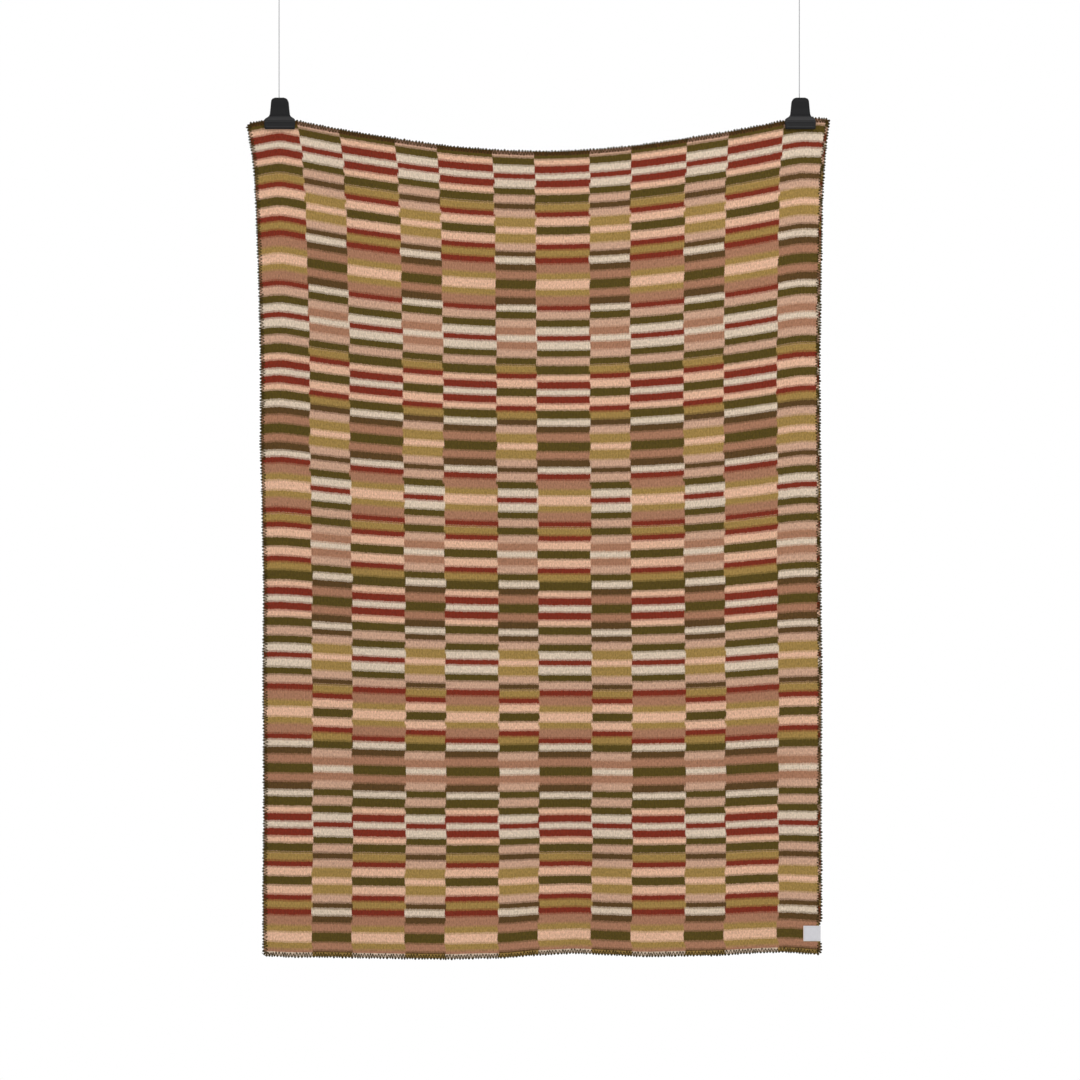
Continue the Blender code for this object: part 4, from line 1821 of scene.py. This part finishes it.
    def lug_shell(self, place: float) -> Shell:
        """Work out a lever's two lugs: a half round about the pin, run back into the lever.

        Each lug is four sections wide, and the outermost two are drawn in as its rounded rims.

        Args:
            place: Distance of each lug from the clip's middle.

        Returns:
            Both lugs.
        """
        angle = np.linspace(0.0, np.pi, 20)
        y = np.concatenate([[-self.lug_root], self.lug * np.sin(angle), [-self.lug_root]])
        z = np.concatenate([[self.lug], self.lug * np.cos(angle), [-self.lug]])
        through = np.array([-1.0, -0.8, 0.8, 1.0])[:, None] * self.lug_half
        draw = np.array([0.93, 1.0, 1.0, 0.93])[:, None]
        rows, columns = len(through), len(y)
        faces = grid_faces(rows, columns, False, True)
        caps = end_caps(rows, columns)
        shells = []
        for sign in (-1.0, 1.0):
            x = np.broadcast_to(sign * place + through, (rows, columns))
            points = np.stack([x, y[None, :] * draw, z[None, :] * draw + self.pin], axis=-1)
            shells.append(Shell(points.reshape(-1, 3), faces, caps).outward())
        return shells[0].with_other(shells[1])

    def make(
        self, solids: Solids, plastic: bpy.types.Material, steel: bpy.types.Material
    ) -> None:
        """Make both levers and dress the pin, spring and eye.

        Args:
            solids: The part's solids.
            plastic: The levers' material.
            steel: The material of what lies between them.
        """
        for way, lug in zip(Way, self.lug_places):
            shell = self.lever_shell().outward().with_other(self.lug_shell(lug))
            points = shell.points * np.array([way.value, way.value, 1.0])
            points = points + np.array([self.middle, 0.0, self.foot])
            node = f"clip_{self.side}_{way.name.lower()}"
            piece = Piece(f"{node}_lever", "clip_plastic", (node,))
            piece.build(Shell(points, shell.faces, shell.caps), plastic)
        for part in ("pin", "spring", "eye"):
            repaint(solids[f"clip_{self.side}_{part}"], steel)


@dataclass
class Wire:
    """One taut steel wire, from a clip's eye up to its ceiling fitting.

    Attributes:
        side: left or right.
        middle: The wire's place along X.
        low: Height of its lower end.
        high: Height of its upper end.
        diameter: Its diameter.
        steps: How many points it has.
    """

    side: str
    middle: float
    low: float = -0.3087
    high: float = -0.0303
    diameter: float = 0.002
    steps: int = 20

    def make(self, solids: Solids, metal: bpy.types.Material) -> None:
        """Make the wire and dress its fitting.

        Args:
            solids: The part's solids.
            metal: The fitting's material.
        """
        levels = np.linspace(self.low, self.high, self.steps)
        line = bpy.data.curves.new(f"wire_{self.side}_rope", "CURVE")
        line.dimensions = "3D"
        line.bevel_depth = self.diameter / 2.0
        line.bevel_resolution = 4
        line.use_fill_caps = True
        spline = line.splines.new("POLY")
        spline.points.add(self.steps - 1)
        one = np.ones(self.steps)
        places = np.stack([one * self.middle, one * 0.0, levels, one], axis=1)
        spline.points.foreach_set("co", places.ravel())
        rope = bpy.data.objects.new(f"wire_{self.side}_rope", line)
        piece = Piece(rope.name, "wire_steel", (f"wire_{self.side}",))
        piece.finish(rope, RopeFinish(self.middle).make())
        fitting = solids[f"ceiling_fitting_{self.side}"]
        repaint(fitting, metal)


@dataclass
class Studio:
    """A plain pale floor, soft light and the camera.

    Attributes:
        middle: X and Z of the view's middle.
        view: Width of the view in the cloth's plane.
        distance: The camera's distance from that plane.
        floor: The floor's height.
        floor_reach: Half the floor's width.
        lamp_place: Where the lamp hangs.
        lamp_size: The lamp's side.
        lamp_power: Its power in watts.
        aim: What the lamp faces.
    """

    middle: tuple[float, float] = (0.0019, -1.3483)
    view: float = 2.5866
    distance: float = 7.0
    floor: float = -3.0
    floor_reach: float = 12.0
    lamp_place: Point = (2.5, -4.4, 2.8)
    lamp_size: float = 2.4
    lamp_power: float = 160.0
    aim: Point = (0.0, 0.0, -1.2)

    def camera(self) -> None:
        """Set the camera straight on to the cloth, its lens fitted to the view's width."""
        lens = bpy.data.cameras.new("camera")
        lens.sensor_width = 36.0
        lens.lens = 36.0 * self.distance / self.view
        lens.clip_end = 60.0
        holder = bpy.data.objects.new("camera", lens)
        holder.location = (self.middle[0], -self.distance, self.middle[1])
        holder.rotation_euler = (math.pi / 2.0, 0.0, 0.0)
        bpy.context.scene.collection.objects.link(holder)
        bpy.context.scene.camera = holder

    def ground(self) -> None:
        """Lay the floor, which glows more with distance: painted light fading it into the white."""
        reach = np.linspace(-self.floor_reach, self.floor_reach, 3)
        across, along = np.meshgrid(reach, reach)
        points = np.stack([across, along, np.full_like(across, self.floor)], axis=-1)
        mesh = bpy.data.meshes.new("floor")
        cells = grid_faces(3, 3, False, False).tolist()
        mesh.from_pydata(points.reshape(-1, 3).tolist(), [], cells)
        mix = Recipe("floor")
        x, y, _ = mix.split(mix.place())
        # Painted light: with distance the floor's colour fades out and it glows white instead.
        far = ((x * x + y * y) ** 0.5).swell(1.0, 1.9)
        grain = mix.noise(mix.place(), 30.0, 4.0)
        colour = mix.shaded((0.90, 0.90, 0.90), (0.97 + grain * 0.05) * (1.0 - far))
        glow = mix.shaded((1.0, 1.0, 1.0), far)
        finish = mix.dress(
            Base_Color=colour,
            Roughness=0.8,
            Specular_IOR_Level=0.0,
            Emission_Color=glow,
            Emission_Strength=1.0,
        )
        mesh.materials.append(finish)
        ground = bpy.data.objects.new("floor", mesh)
        bpy.context.scene.collection.objects.link(ground)

    def lamp(self) -> None:
        """Hang the soft square lamp that faces the cloth's middle."""
        light = bpy.data.lights.new("key", "AREA")
        light.size = self.lamp_size
        light.energy = self.lamp_power
        holder = bpy.data.objects.new("key", light)
        holder.location = self.lamp_place
        toward = Vector(self.aim) - Vector(self.lamp_place)
        holder.rotation_euler = toward.to_track_quat("-Z", "Y").to_euler()
        bpy.context.scene.collection.objects.link(holder)

    def make(self) -> None:
        """Make the world, the camera, the lamp and the floor."""
        scene = bpy.context.scene
        scene.view_settings.view_transform = "Standard"
        world = bpy.data.worlds.new("studio")
        world.use_nodes = True
        sky = world.node_tree.nodes["Background"]
        sky.inputs["Color"].default_value = (1.0, 1.0, 1.0, 1.0)
        sky.inputs["Strength"].default_value = 1.0
        scene.world = world
        self.camera()
        self.lamp()
        self.ground()


def main() -> None:
    """Build the pieces in order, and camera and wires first."""
    logging.basicConfig(level=logging.INFO, format="%(name)s %(message)s")
    solids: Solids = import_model()["nodes"]
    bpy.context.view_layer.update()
    Studio().make()
    form = ClothForm()
    sides = {"left": form.left.sign, "right": form.right.sign}
    metal = SteelFinish("fitting_metal", (0.44, 0.44, 0.45), 0.34).make()
    for name, sign in sides.items():
        Wire(name, sign * form.half_span).make(solids, metal)

    cloth = Blanket(form)
    sheet = cloth.make()
    stitching = EdgeStitching(form).make()
    label = Label(form).make()
    plastic = PlasticFinish().make()
    steel = SteelFinish("spring_steel").make()
    for name, sign in sides.items():
        clip = SpringClip(name, sign * form.half_span + form.shift, form.clip_foot)
        clip.make(solids, plastic, steel)


if __name__ == "__main__":
    main()
